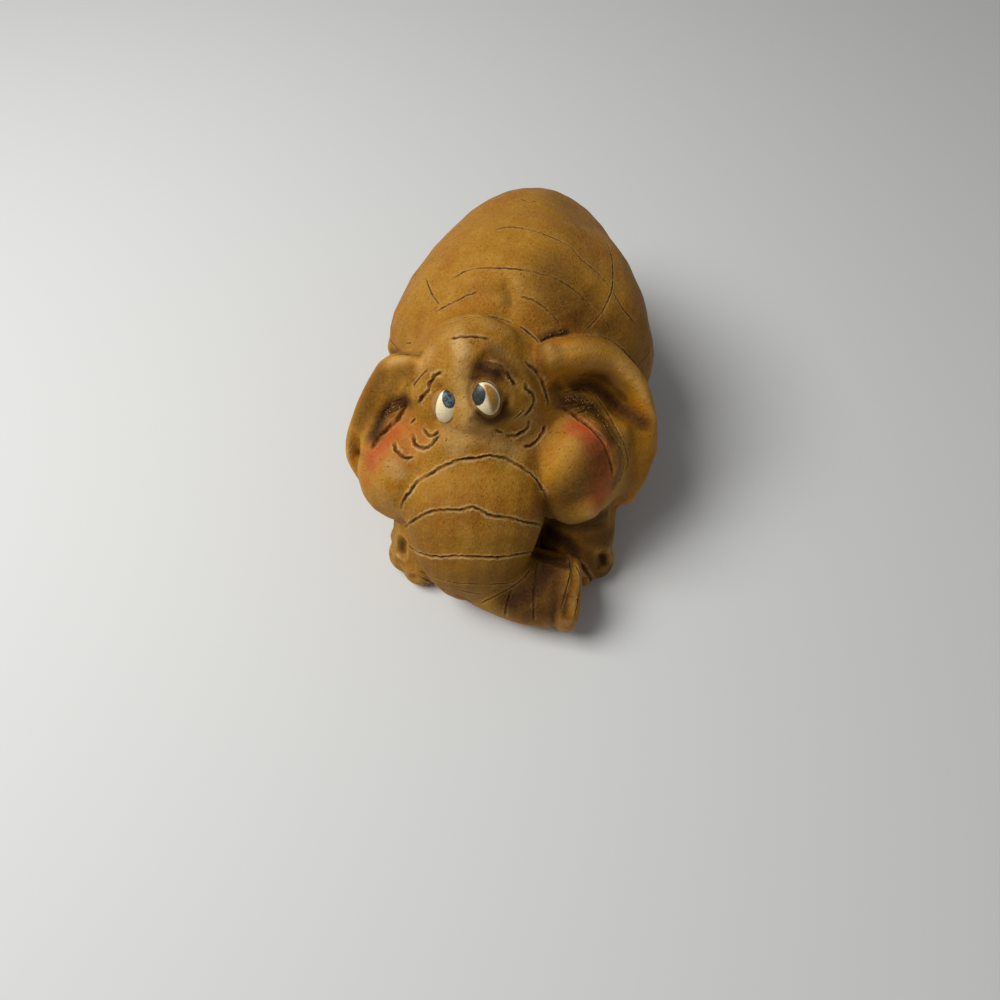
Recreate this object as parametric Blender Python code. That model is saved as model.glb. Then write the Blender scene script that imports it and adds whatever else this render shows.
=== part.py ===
"""Small clay elephant figurine, built the way a potter builds it: a body, a head, a trunk, ears, legs and
other lumps that are shaped one by one and luted together.

Run it with: blender --background --python part.py
The elephant faces -Y, +Z is up, and it stands on z = 0. Lengths are in metres.
"""

import math

import bmesh
import bpy
from mathutils import Euler, Matrix, Vector

MM = 0.001

# Fits
LUTING_GAP = 0.3 * MM  # slip joint between two lumps of clay
BELOW_FLOOR = 14 * MM  # depth of the block that cuts the flat sole of each foot

# Body: an egg that tapers to the rump. Its centre's place sets where the rest is
BODY_HALF_WIDTH = 22.6 * MM
BODY_HALF_HEIGHT = 21.8 * MM
BODY_REAR = 33.4 * MM  # from the widest place to the rump
BODY_FRONT = 12.5 * MM  # from the widest place to the shoulders
BELLY_CLEARANCE = 0.8 * MM
BODY_TAPER = 0.27
BODY_TURN = math.radians(-2.6)

# Head: set to the elephant's right of the body, the crown slim
HEAD_HALF_WIDTH = 13.6 * MM
HEAD_HALF_DEPTH = 10.2 * MM
HEAD_HALF_HEIGHT = 16.0 * MM
HEAD_ASIDE = 5.5 * MM
CHIN_HEIGHT = 10.9 * MM
HEAD_CROWN = 0.25  # share by which the crown is slimmer than the jaws
HEAD_TILT = math.radians(-2)
HEAD_YAW = math.radians(4)

# Chest: between the front legs, under the head
CHEST_HALF_WIDTH = 12.5 * MM
CHEST_HALF_DEPTH = 15.4 * MM
CHEST_HALF_HEIGHT = 9.6 * MM
CHEST_CLEARANCE = 0.4 * MM
CHEST_ASIDE = 3.0 * MM  # from the head's middle towards its left
CHEST_FORWARD = 4.2 * MM

# Cheeks: places are from the side, the front and the middle height of the head
CHEEK_HALF_WIDTH = 7.6 * MM
CHEEK_HALF_DEPTH = 7.8 * MM
CHEEK_HALF_HEIGHT = 9.2 * MM
CHEEK_LEFT_SIZE = 1.06  # the left one is puffed up more
CHEEK_RIGHT_OUT = -2.0 * MM
CHEEK_RIGHT_FORWARD = 0.1 * MM
CHEEK_RIGHT_DROP = 8.5 * MM
CHEEK_LEFT_OUT = 2.4 * MM
CHEEK_LEFT_FORWARD = -2.7 * MM
CHEEK_LEFT_DROP = 7.5 * MM

EAR_RIGHT_HEIGHT = 29.5 * MM
EAR_LEFT_HEIGHT = 30.7 * MM
EAR_RIM = 2.5 * MM  # radius of the rolled rim
EAR_CUP = 2.6 * MM  # depth of the hollow
EAR_ROOM = 12.0 * MM  # how far before an ear nothing of the body stands
EAR_LEFT_FACING = Vector((0.32, -0.83, 0.45))
EAR_RIGHT_FACING = Vector((-0.12, -0.90, 0.40))

EYE_HALF_WIDTH = 2.15 * MM
EYE_HALF_DEPTH = 1.7 * MM
EYE_HALF_HEIGHT = 2.7 * MM
EYE_SINK = 0.35 * MM  # centre of the eyeball below the skin of the face
EYE_RIGHT = (-26, 30)  # degrees across and up on the head
EYE_LEFT = (10, 38)

# Trunk: comes out under the eyes, goes down to the ground and turns to the elephant's left
TRUNK_HALF_WIDTH = 11.7 * MM
TRUNK_HALF_DEPTH = 8.0 * MM
TRUNK_ROOT_DROP = 4.9 * MM  # of its root below the head's middle
TRUNK_FORWARD = 11.1 * MM  # reach in front of the face
TIP_RADIUS = 6.3 * MM
TIP_AHEAD = 0.476  # how far it bends forward, as a share of its radius
TIP_BEFORE_FOOT = 3.2 * MM  # its end, before the middle of the left foot
LIP_THICKNESS = 2.1 * MM
LIP_FLARE = 0.3 * MM
NOSTRIL_RADIUS = 3.6 * MM
NOSTRIL_DEPTH = 2.2 * MM

# Legs: the front feet stand in front of the cheeks, the hind feet in from the flank and the rump
FOOT_RADIUS = 6.3 * MM
FRONT_LEG_BACK = 6.0 * MM  # lean from the sole to the top
FRONT_RIGHT_IN = 3.7 * MM
FRONT_RIGHT_AHEAD = 5.8 * MM
FRONT_LEFT_OUT = 1.8 * MM
FRONT_LEFT_BEHIND_TIP = 4.1 * MM  # from the side of the trunk's tip to the middle of the foot
FRONT_RIGHT_HEADING = -62  # degrees that the middle toe points away from -Y, towards +X
FRONT_LEFT_HEADING = 8
HIND_HEADING = 25
HIND_FOOT_RADIUS = 7.0 * MM
HIND_LEG_LEAN = 3.0 * MM
HIND_FOOT_IN = 8.6 * MM
HIND_FOOT_FROM_RUMP = 16.0 * MM
HIND_KNEE_DROP = 5.6 * MM  # below the body's middle
TOE_RADIUS = 3.2 * MM
NAIL_RADIUS = 1.35 * MM
TOE_SPREAD = 47  # degrees between two toes
SCOOP_TURN = (0.1, 0.3)  # radians, so that no edge of a nail's scoop lies along one of the toe's

TAIL_RADIUS = 1.5 * MM
TUFT_HALF_WIDTH = 2.2 * MM
TUFT_HALF_LENGTH = 3.6 * MM


class Egg:
    """A smooth egg with its own turn. taper slims its +Y end and crown its top; front is its half-length
    towards -Y."""

    def __init__(self, centre, radii, turn=None, taper=0.0, front=None, crown=0.0):
        self.centre = centre
        self.radii = radii
        self.turn = turn or Euler()
        self.taper = taper
        self.front = front or radii[1]
        self.crown = crown

    def local(self, unit, lift=0.0):
        x, y, z = unit
        slim = 1.0 - self.taper * max(y, 0.0) - self.crown * max(z, 0.0)
        low = 1.0 - 0.3 * self.taper * max(y, 0.0)
        length = self.radii[1] if y > 0 else self.front
        return Vector((x * (self.radii[0] * slim + lift), y * (length + lift),
                       z * (self.radii[2] * low + lift)))

    def skin(self, across, up, lift=0.0):
        """A point of the surface: degrees across from -Y towards +X, and up, plus a lift outward."""
        a, u = math.radians(across), math.radians(up)
        unit = (math.sin(a) * math.cos(u), -math.cos(a) * math.cos(u), math.sin(u))
        return self.centre + self.turn.to_matrix() @ self.local(unit, lift)

    def build(self, name, material, around=28, rings=16):
        bm = bmesh.new()
        bmesh.ops.create_uvsphere(bm, u_segments=around, v_segments=rings, radius=1.0)
        for vert in bm.verts:
            vert.co = self.local(vert.co)
        return add_object(name, bm, material, self.centre, self.turn)


def clear_scene():
    for obj in list(bpy.data.objects):
        bpy.data.objects.remove(obj, do_unlink=True)


def make_material(name, colour, roughness):
    material = bpy.data.materials.new(name)
    material.use_nodes = True
    shader = material.node_tree.nodes["Principled BSDF"]
    shader.inputs["Base Color"].default_value = (*colour, 1.0)
    shader.inputs["Roughness"].default_value = roughness
    shader.inputs["Metallic"].default_value = 0.0
    material.diffuse_color = (*colour, 1.0)
    return material


def add_object(name, bm, material, location=Vector(), turn=Euler()):
    """Turns a bmesh into a named, smoothly shaded object at a place."""
    bmesh.ops.recalc_face_normals(bm, faces=bm.faces)
    mesh = bpy.data.meshes.new(name)
    bm.to_mesh(mesh)
    bm.free()
    mesh.shade_smooth()
    if material is not None:
        mesh.materials.append(material)
    obj = bpy.data.objects.new(name, mesh)
    bpy.context.scene.collection.objects.link(obj)
    obj.location = location
    obj.rotation_euler = turn
    return obj


def smooth_between(points, share, closed=False):
    """A point on the smooth curve through points (equal-length tuples), share from 0 to 1."""
    count = len(points)
    spans = count if closed else count - 1
    place = min(share * spans, spans - 1e-9)
    i = int(place)
    t = place - i
    picked = []
    for k in (i - 1, i, i + 1, i + 2):
        picked.append(points[k % count] if closed else points[min(max(k, 0), count - 1)])
    return [
        0.5 * (2 * b + (c - a) * t + (2 * a - 5 * b + 4 * c - d) * t * t + (3 * b - a - 3 * c + d) * t**3)
        for a, b, c, d in zip(*picked)
    ]


def join_rings(bm, rings):
    """Faces between rings of equally many vertices."""
    around = len(rings[0])
    for low, high in zip(rings, rings[1:]):
        for k in range(around):
            n = (k + 1) % around
            bm.faces.new((low[k], low[n], high[n], high[k]))


def add_sweep(name, material, stations, around=20, steps=10, start_reach=0.9, end_reach=0.9, side=None):
    """A tube of changing oval section, domed at both ends.

    A station is (x, y, z, half width, half depth). A reach is the dome's length as a share of its radius.
    """
    rows = [smooth_between(stations, k / steps) for k in range(steps + 1)]
    centres = [Vector(row[:3]) for row in rows]
    side = side or Vector((1, 0, 0))
    sections = []
    for k, centre in enumerate(centres):
        tangent = (centres[min(k + 1, steps)] - centres[max(k - 1, 0)]).normalized()
        side = (side - tangent * side.dot(tangent)).normalized()
        sections.append((centre, tangent, side, rows[k][3], rows[k][4]))
    dome = [math.radians(d) for d in (18, 38, 58, 76)]
    first, last = [], []
    for angle in dome:
        centre, tangent, side, a, b = sections[0]
        back = centre - tangent * min(a, b) * start_reach * math.sin(angle)
        first.insert(0, (back, tangent, side, a * math.cos(angle), b * math.cos(angle)))
        centre, tangent, side, a, b = sections[-1]
        ahead = centre + tangent * min(a, b) * end_reach * math.sin(angle)
        last.append((ahead, tangent, side, a * math.cos(angle), b * math.cos(angle)))
    bm = bmesh.new()
    rings = []
    for centre, tangent, side, a, b in first + sections + last:
        up = tangent.cross(side)
        ring = []
        for k in range(around):
            angle = 2 * math.pi * k / around
            ring.append(bm.verts.new(centre + side * a * math.cos(angle) + up * b * math.sin(angle)))
        rings.append(ring)
    join_rings(bm, rings)
    bm.faces.new(list(reversed(rings[0])))
    bm.faces.new(rings[-1])
    return add_object(name, bm, material)


def turn_outline(name, material, points, middle, normal, profile):
    """A closed solid: the outline, drawn in to each share of the profile and lifted along the normal."""
    bm = bmesh.new()
    rings = []
    for share, lift in profile:
        rings.append([bm.verts.new(middle + (p - middle) * share + normal * lift) for p in points])
    join_rings(bm, rings)
    for ring, lift in ((rings[0], profile[0][1]), (rings[-1], profile[-1][1])):
        pole = bm.verts.new(middle + normal * lift)
        for k in range(len(ring)):
            bm.faces.new((pole, ring[k], ring[(k + 1) % len(ring)]))
    return add_object(name, bm, material)


def add_ear(name, material, outline, facing, around=32):
    """A thick flap inside an outline: a rolled rim around a hollow on the side that it faces.

    Returns it and the room that it takes, its hollow and what is before it included.
    """
    points = [Vector(smooth_between(outline, k / around, closed=True)) for k in range(around)]
    middle = sum(points, Vector()) / around
    normal = facing.normalized()
    back = 2 * EAR_RIM
    profile = (
        (0.35, -EAR_CUP - back), (0.7, -EAR_CUP * 0.9 - back * 0.8), (0.88, -back * 0.75),
        (0.97, -back * 0.4), (1.0, 0.0), (0.97, EAR_RIM * 0.55), (0.89, EAR_RIM * 0.9),
        (0.8, EAR_RIM * 0.9), (0.71, EAR_RIM * 0.5), (0.63, -EAR_RIM * 0.15),
        (0.53, -EAR_CUP * 0.6), (0.38, -EAR_CUP * 0.9), (0.2, -EAR_CUP),
    )
    ear = turn_outline(name, material, points, middle, normal, profile)
    behind = profile[:5]
    ahead = ((1.0, EAR_ROOM), (0.5, EAR_ROOM))
    return ear, hide_cutter(turn_outline(name + "_room", None, points, middle, normal, behind + ahead))


def cutter_of(obj, gap):
    """A hidden cutter: the object's bare shape, swollen by the gap."""
    cutter = bpy.data.objects.new(obj.name + "_cutter", obj.data)
    bpy.context.scene.collection.objects.link(cutter)
    cutter.location = obj.location
    cutter.rotation_euler = obj.rotation_euler
    swell = cutter.modifiers.new("swell", "DISPLACE")
    swell.strength = gap
    swell.mid_level = 0.0
    cutter.hide_render = True
    cutter.display_type = "WIRE"
    return cutter


def cut_away(obj, cutter):
    cut = obj.modifiers.new("cut_by_" + cutter.name, "BOOLEAN")
    cut.operation = "DIFFERENCE"
    cut.solver = "EXACT"
    cut.object = cutter


def cut_at_once(obj, cutters):
    """Cuts a small obj away where the cutters are, in one step, so that no sliver is left between cuts."""
    cut = obj.modifiers.new("cuts", "BOOLEAN")
    cut.operation = "DIFFERENCE"
    cut.solver = "EXACT"
    cut.operand_type = "COLLECTION"
    cut.collection = bpy.data.collections.new(obj.name + "_cuts")
    for cutter in cutters:
        cut.collection.objects.link(cutter)


def seat(obj, *neighbours):
    """Cuts obj away where its neighbours are, leaving the joint's gap."""
    for neighbour in neighbours:
        cut_away(obj, cutter_of(neighbour, LUTING_GAP))


def hide_cutter(obj):
    obj.hide_render = True
    obj.display_type = "WIRE"
    return obj


def add_floor_cutter():
    bm = bmesh.new()
    reach = 3 * (BODY_FRONT + BODY_REAR)
    bmesh.ops.create_cube(bm, size=1.0, matrix=Matrix.Diagonal((reach, reach, BELOW_FLOOR, 1.0)))
    return hide_cutter(add_object("floor_cutter", bm, None, Vector((0, 0, -BELOW_FLOOR / 2))))


def add_leg(name, clay, foot, lean, radius, top, floor):
    """A stub leg: a round sole on the ground, leaning by lean along Y up to its top."""
    leg = add_sweep(name, clay, [
        (foot.x, foot.y, radius * 0.16, radius * 0.93, radius * 0.93),
        (foot.x, foot.y, radius * 0.8, radius, radius),
        (foot.x, foot.y + lean * 0.4, top * 0.6, radius * 0.92, radius * 0.92),
        (foot.x, foot.y + lean, top, radius * 0.85, radius * 0.85),
    ], around=18, steps=6)
    cut_away(leg, floor)
    return leg


def add_toes(prefix, clay, leg, foot, radius, heading, floor, neighbours):
    """Three round toes around the front of a foot, each with a scooped nail."""
    toes, scoops = [], []
    for number, step in enumerate((-1, 0, 1), start=1):
        angle = math.radians(heading + step * TOE_SPREAD)
        out = Vector((math.sin(angle), -math.cos(angle), 0))
        centre = Vector((foot.x, foot.y, TOE_RADIUS)) + out * (radius - TOE_RADIUS * 0.6)
        egg = Egg(centre, (TOE_RADIUS, TOE_RADIUS, TOE_RADIUS * 1.25), Euler((0, 0, angle)))
        toes.append(egg.build(f"{prefix}_toe_{number}", clay, 14, 8))
        nail = centre + (out + Vector((0, 0, 0.45))).normalized() * (TOE_RADIUS + NAIL_RADIUS * 0.55)
        scoop = Egg(nail, (NAIL_RADIUS, NAIL_RADIUS, NAIL_RADIUS * 1.3),
                    Euler((SCOOP_TURN[0], 0, angle + SCOOP_TURN[1])))
        scoops.append(hide_cutter(scoop.build(f"{prefix}_scoop_{number}", None, 10, 6)))
    for toe, scoop in zip(toes, scoops):
        around = [leg, *neighbours]
        if toe is not toes[1]:
            around.append(toes[1])
        cut_at_once(toe, [floor, scoop] + [cutter_of(piece, LUTING_GAP) for piece in around])
    return toes


def add_trunk(clay, head):
    """The trunk from the face to the ground. Returns it and the place where its lower end is."""
    face = head + Vector((0, -HEAD_HALF_DEPTH, 0))
    top = head.z - TRUNK_ROOT_DROP
    bottom = TIP_RADIUS * 1.365
    # Shares: aside and wide of the half width, forward of the reach, up of the height, deep of the half depth
    shape = (
        (-0.026, -0.586, 1.0, 0.94, 0.95),
        (-0.021, 0.009, 0.91, 1.0, 1.0),
        (0.026, 0.532, 0.746, 0.957, 1.0),
        (0.03, 0.82, 0.522, 0.88, 0.95),
        (0.009, 0.964, 0.254, 0.76, 0.875),
        (0.034, 1.0, 0.0, 0.65, 0.8),
    )
    stations = []
    for aside, forward, up, wide, deep in shape:
        x = face.x + TRUNK_HALF_WIDTH * aside
        y = face.y - TRUNK_FORWARD * forward
        z = bottom + (top - bottom) * up
        stations.append((x, y, z, TRUNK_HALF_WIDTH * wide, TRUNK_HALF_DEPTH * deep))
    return add_sweep("trunk", clay, stations), Vector(stations[-1][:3])


def add_trunk_tip(clay, start, reach, floor):
    """The part of the trunk that lies on the ground, and the lip around its nostril."""
    up = Vector((0, 0, 1))
    # Shares: along of the reach, ahead and wide of the tip's radius
    shape = ((0.042, -0.063, 0.955), (0.324, 0.127, 1.015), (0.676, 0.365, 1.015), (1.0, TIP_AHEAD, 0.985))
    stations = []
    for along, ahead, wide in shape:
        x = start.x + reach * along
        y = start.y - TIP_RADIUS * ahead
        stations.append((x, y, TIP_RADIUS, TIP_RADIUS * wide, TIP_RADIUS * wide))
    tip = add_sweep("trunk_tip", clay, stations, side=up, end_reach=0.15)
    end = Vector((start.x + reach + LIP_THICKNESS * 0.38, start.y - TIP_RADIUS * TIP_AHEAD, TIP_RADIUS))
    wide = TIP_RADIUS + LIP_FLARE
    lip = add_sweep("trunk_lip", clay, [
        (end.x, end.y, end.z, TIP_RADIUS, TIP_RADIUS),
        (end.x + LIP_THICKNESS * 0.52, end.y, end.z, wide, wide),
        (end.x + LIP_THICKNESS, end.y, end.z, TIP_RADIUS, TIP_RADIUS),
    ], side=up, steps=4, start_reach=0.12, end_reach=0.2)
    mouth = Vector((end.x + LIP_THICKNESS + 0.2 * TIP_RADIUS, end.y, end.z))
    scoop = Egg(mouth, (NOSTRIL_DEPTH, NOSTRIL_RADIUS, NOSTRIL_RADIUS)).build("nostril_scoop", None, 14, 10)
    cut_away(lip, hide_cutter(scoop))
    for piece in (tip, lip):
        cut_away(piece, floor)
    return tip, lip


# Outlines of the ears, from the side of the head: out, back and up, as shares of the ear's height
EAR_RIGHT_OUTLINE = (
    (0.292, 0.01, 0.393), (0.142, -0.034, 0.342), (-0.041, 0.017, 0.224), (-0.136, -0.054, 0.105),
    (-0.21, -0.146, -0.031), (-0.258, -0.237, -0.183), (-0.261, -0.275, -0.302),
    (-0.214, -0.315, -0.437), (-0.115, -0.376, -0.559), (0.088, -0.346, -0.607),
    (0.258, -0.227, -0.437), (0.325, -0.092, -0.098),
)
EAR_LEFT_OUTLINE = (
    (-0.182, -0.01, 0.404), (-0.059, 0.046, 0.404), (0.078, 0.111, 0.368), (0.199, 0.137, 0.303),
    (0.313, 0.111, 0.205), (0.401, 0.068, 0.107), (0.466, -0.01, -0.046), (0.498, -0.081, -0.215),
    (0.485, -0.14, -0.329), (0.391, -0.251, -0.492), (0.241, -0.349, -0.596), (0.046, -0.267, -0.567),
    (-0.117, -0.121, -0.322), (-0.215, -0.055, 0.068),
)


def set_on_origin(pieces):
    """Moves everything so that the middle of the figurine's box is over the origin."""
    bpy.context.view_layer.update()
    graph = bpy.context.evaluated_depsgraph_get()
    points = []
    for piece in pieces:
        solid = piece.evaluated_get(graph)
        points += [solid.matrix_world @ vert.co for vert in solid.data.vertices]
    middle = Vector()
    for axis in (0, 1):
        places = [point[axis] for point in points]
        middle[axis] = (min(places) + max(places)) / 2
    for obj in bpy.data.objects:
        obj.location -= middle
    return middle


def main():
    clear_scene()
    clay = make_material("ochre_clay", (0.42, 0.22, 0.06), 0.6)
    blush = make_material("rose_blush", (0.55, 0.16, 0.07), 0.6)
    white = make_material("eye_white", (0.72, 0.62, 0.38), 0.4)
    floor = add_floor_cutter()

    middle = Vector((HEAD_ASIDE / 2, BODY_FRONT / 2, BELLY_CLEARANCE + BODY_HALF_HEIGHT))
    body_egg = Egg(middle, (BODY_HALF_WIDTH, BODY_REAR, BODY_HALF_HEIGHT), Euler((0, 0, BODY_TURN)),
                   BODY_TAPER, BODY_FRONT)
    body = body_egg.build("body", clay, 32, 20)

    skull = Vector((middle.x - HEAD_ASIDE, middle.y - BODY_FRONT, CHIN_HEIGHT + HEAD_HALF_HEIGHT))
    head_egg = Egg(skull, (HEAD_HALF_WIDTH, HEAD_HALF_DEPTH, HEAD_HALF_HEIGHT),
                   Euler((0, HEAD_TILT, HEAD_YAW)), crown=HEAD_CROWN)
    head = head_egg.build("head", clay, 26, 16)
    chest_centre = Vector((skull.x + CHEST_ASIDE, skull.y - CHEST_FORWARD,
                           CHEST_CLEARANCE + CHEST_HALF_HEIGHT))
    chest_egg = Egg(chest_centre, (CHEST_HALF_WIDTH, CHEST_HALF_DEPTH, CHEST_HALF_HEIGHT))
    chest = chest_egg.build("chest", clay, 20, 12)

    cheek_size = Vector((CHEEK_HALF_WIDTH, CHEEK_HALF_DEPTH, CHEEK_HALF_HEIGHT))
    cheek_right = Vector((skull.x - HEAD_HALF_WIDTH - CHEEK_RIGHT_OUT,
                          skull.y - HEAD_HALF_DEPTH - CHEEK_RIGHT_FORWARD, skull.z - CHEEK_RIGHT_DROP))
    cheek_left = Vector((skull.x + HEAD_HALF_WIDTH + CHEEK_LEFT_OUT,
                         skull.y - HEAD_HALF_DEPTH - CHEEK_LEFT_FORWARD, skull.z - CHEEK_LEFT_DROP))
    cheeks = {"right": Egg(cheek_right, cheek_size).build("cheek_right", blush, 20, 12),
              "left": Egg(cheek_left, cheek_size * CHEEK_LEFT_SIZE).build("cheek_left", blush, 20, 12)}

    trunk, trunk_end = add_trunk(clay, skull)
    tip_side = trunk_end.y - TIP_RADIUS * TIP_AHEAD + TIP_RADIUS
    foot_right = cheek_right + Vector((FRONT_RIGHT_IN, -FRONT_RIGHT_AHEAD, 0))
    foot_left = Vector((cheek_left.x + FRONT_LEFT_OUT, tip_side + FRONT_LEFT_BEHIND_TIP, cheek_left.z))
    tip, lip = add_trunk_tip(clay, trunk_end, foot_left.x - TIP_BEFORE_FOOT - trunk_end.x, floor)

    ears, ear_rooms = {}, {}
    for side, sign, outline, height, facing in (
            ("right", -1, EAR_RIGHT_OUTLINE, EAR_RIGHT_HEIGHT, EAR_RIGHT_FACING),
            ("left", 1, EAR_LEFT_OUTLINE, EAR_LEFT_HEIGHT, EAR_LEFT_FACING)):
        root = skull + Vector((sign * HEAD_HALF_WIDTH, 0, 0))
        points = [root + Vector(point) * height for point in outline]
        ears[side], ear_rooms[side] = add_ear("ear_" + side, clay, points, facing)

    front_legs, hind_legs = [], []
    for side, foot, heading, near in (("right", foot_right, FRONT_RIGHT_HEADING, (trunk, chest)),
                                      ("left", foot_left, FRONT_LEFT_HEADING, (tip, lip, chest))):
        leg = add_leg("front_leg_" + side, clay, foot, FRONT_LEG_BACK, FOOT_RADIUS, foot.z, floor)
        add_toes("front_" + side, clay, leg, foot, FOOT_RADIUS, heading, floor, near)
        front_legs.append(leg)
    for side, sign in (("right", -1), ("left", 1)):
        foot = Vector((middle.x + sign * (BODY_HALF_WIDTH - HIND_FOOT_IN),
                       middle.y + BODY_REAR - HIND_FOOT_FROM_RUMP, middle.z - HIND_KNEE_DROP))
        leg = add_leg("hind_leg_" + side, clay, foot, -HIND_LEG_LEAN, HIND_FOOT_RADIUS, foot.z, floor)
        add_toes("hind_" + side, clay, leg, foot, HIND_FOOT_RADIUS, sign * HIND_HEADING, floor, (body,))
        hind_legs.append(leg)

    eyes = []
    for side, (across, up) in (("right", EYE_RIGHT), ("left", EYE_LEFT)):
        egg = Egg(head_egg.skin(across, up, -EYE_SINK), (EYE_HALF_WIDTH, EYE_HALF_DEPTH, EYE_HALF_HEIGHT),
                  Euler((math.radians(-up * 0.6), HEAD_TILT, 0)))
        eyes.append(egg.build("eye_" + side, white, 14, 10))

    stations = []
    for up, wide in ((8, 1.3), (-4, 1.0), (-18, 0.9), (-34, 0.85)):
        place = body_egg.skin(180, up, TAIL_RADIUS * 0.2)
        stations.append((*place, TAIL_RADIUS * wide, TAIL_RADIUS * wide))
    tail = add_sweep("tail", clay, stations, around=12, steps=8)
    tuft_egg = Egg(body_egg.skin(180, -46, TUFT_HALF_WIDTH * 0.3),
                   (TUFT_HALF_WIDTH, TUFT_HALF_WIDTH, TUFT_HALF_LENGTH), Euler((math.radians(40), 0, 0)))
    tuft = tuft_egg.build("tail_tuft", clay, 14, 8)

    seat(body, head, ear_rooms["right"], ear_rooms["left"])
    seat(chest, body, head, trunk, cheeks["right"], cheeks["left"], ear_rooms["right"], ear_rooms["left"])
    seat(trunk, head)
    seat(tip, trunk, chest)
    seat(lip, tip)
    for side in ("right", "left"):
        seat(cheeks[side], head, trunk)
        seat(ears[side], cheeks[side], head, trunk)
    for leg, side in zip(front_legs, ("right", "left")):
        seat(leg, body, chest, trunk, tip, lip, cheeks[side], ears[side], head)
    for leg in hind_legs:
        seat(leg, body)
    for eye in eyes:
        seat(eye, head)
    seat(tail, body)
    seat(tuft, tail, body)
    return set_on_origin([obj for obj in bpy.data.objects if not obj.hide_render])


if __name__ == "__main__":
    main()
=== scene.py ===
"""Looks of a small squat clay elephant figurine, modelled by hand and stained with brown glaze.

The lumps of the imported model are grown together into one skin, which is smoothed, sculpted and scratched
with the modelling tool's lines, and then parted again into one closed piece for each lump.
"""
import logging
import math
from dataclasses import dataclass, field
from enum import Enum

import bmesh
import bpy
import numpy as np
from mathutils import Euler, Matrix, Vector, noise
from mathutils.bvhtree import BVHTree


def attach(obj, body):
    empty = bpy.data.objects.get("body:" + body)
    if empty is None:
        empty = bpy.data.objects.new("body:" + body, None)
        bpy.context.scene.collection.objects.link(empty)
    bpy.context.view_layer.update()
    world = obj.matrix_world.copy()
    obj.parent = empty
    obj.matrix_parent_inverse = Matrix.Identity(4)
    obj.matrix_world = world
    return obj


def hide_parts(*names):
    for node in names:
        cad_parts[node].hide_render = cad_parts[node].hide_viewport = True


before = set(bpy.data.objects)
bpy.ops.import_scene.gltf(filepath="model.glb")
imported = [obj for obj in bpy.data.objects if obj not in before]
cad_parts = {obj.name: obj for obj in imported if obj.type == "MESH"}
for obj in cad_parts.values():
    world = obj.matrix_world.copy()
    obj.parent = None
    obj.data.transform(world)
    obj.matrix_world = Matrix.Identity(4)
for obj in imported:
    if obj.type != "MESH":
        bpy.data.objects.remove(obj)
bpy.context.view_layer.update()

MM = 0.001
WELD = 0.002 * MM
# Without a seed, noise_vector takes one from the clock.
WANDER_SEED = 7
LOG = logging.getLogger("elephant")

Pixel = tuple[float, float]
Path = tuple[Pixel, ...]
Colour = tuple[float, float, float]
Arrays = tuple[np.ndarray, np.ndarray]
Sockets = dict[str, bpy.types.NodeSocket]


class Mark(Enum):
    """What a stroke of the tool or the brush leaves."""

    FORM = "form"
    GROOVE = "groove"
    # Dark wash: real stain in lines, hollows and nails, and painted shade where the figurine lies in shadow.
    STAIN_AND_SHADE = "stain_and_shade"
    BLUSH = "blush"
    # Pale clay: real wear on groove lips and ridges, and painted highlights where light falls.
    WORN_AND_HIGHLIGHT = "worn"
    CRUMB = "crumb"


@dataclass(frozen=True)
class Viewpoint:
    """The camera that took the photograph, in the row frame."""

    place: tuple[float, float, float] = (5.470 * MM, -79.889 * MM, 125.0 * MM)
    tilt: float = math.radians(28.3)
    turn: float = math.radians(5.0)
    focal_pixels: float = 752.0
    frame_pixels: int = 1000
    sensor: float = 36.0

    def ray(self, pixel: Pixel) -> tuple[Vector, Vector]:
        """Line of sight through a pixel.

        Args:
            pixel: place in the photograph, from its upper left corner.

        Returns:
            The camera's place and the direction.
        """
        half = self.frame_pixels / 2
        seen = Vector((pixel[0] - half, half - pixel[1], -self.focal_pixels)).normalized()
        return Vector(self.place), Euler((self.tilt, 0, self.turn)).to_matrix() @ seen

    def build(self) -> None:
        """Makes the scene's camera."""
        data = bpy.data.cameras.new("camera")
        data.sensor_width = self.sensor
        data.lens = self.sensor * self.focal_pixels / self.frame_pixels
        data.clip_start = MM
        camera = linked("camera", data)
        camera.location = self.place
        camera.rotation_euler = (self.tilt, 0, self.turn)
        bpy.context.scene.camera = camera


VIEW = Viewpoint()


@dataclass(frozen=True)
class Stroke:
    """One stroke over the skin, along pixels of the photograph or along points of the row frame.

    Args:
        mark: what the stroke leaves.
        path: pixels that it passes.
        width: half-width in millimetres.
        amount: height in millimetres for a form, depth for a groove, strength from 0 to 1 for paint.
        points: the same path in millimetres of the row frame, for the sides that the photograph hides.
        lip: how far the clay beside a groove is raised and worn, from 0 to 1.
    """

    mark: Mark
    path: Path = ()
    width: float = 0.25
    amount: float = 0.2
    points: tuple[tuple[float, float, float], ...] = ()
    lip: float = 1.0


@dataclass(frozen=True)
class Fill:
    """Clay pressed in along pixels of the photograph, before the lumps are grown together.

    Args:
        path: pixels that it passes.
        radius: half its thickness in millimetres.
        rise: how far its front stands before the lump behind it, in millimetres. Below zero the front lies
            inside that lump, and the clay shows only past the lump's edge.
    """

    path: Path
    radius: float
    rise: float


@dataclass(frozen=True)
class Rub:
    """A place where the fingers smoothed the clay over.

    Args:
        path: pixels that they passed.
        width: how far from them the smoothing reaches, in millimetres.
        rounds: how many times it is smoothed.
    """

    path: Path
    width: float
    rounds: int


def groove(*path: Pixel, width: float = 0.24, depth: float = 0.2, lip: float = 0.8) -> Stroke:
    """A line scratched with the tool, along pixels."""
    return Stroke(Mark.GROOVE, path, width, depth, lip=lip)


def form(*path: Pixel, width: float, height: float) -> Stroke:
    """A swelling, or a hollow where the height is below zero, along pixels."""
    return Stroke(Mark.FORM, path, width, height)


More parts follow.
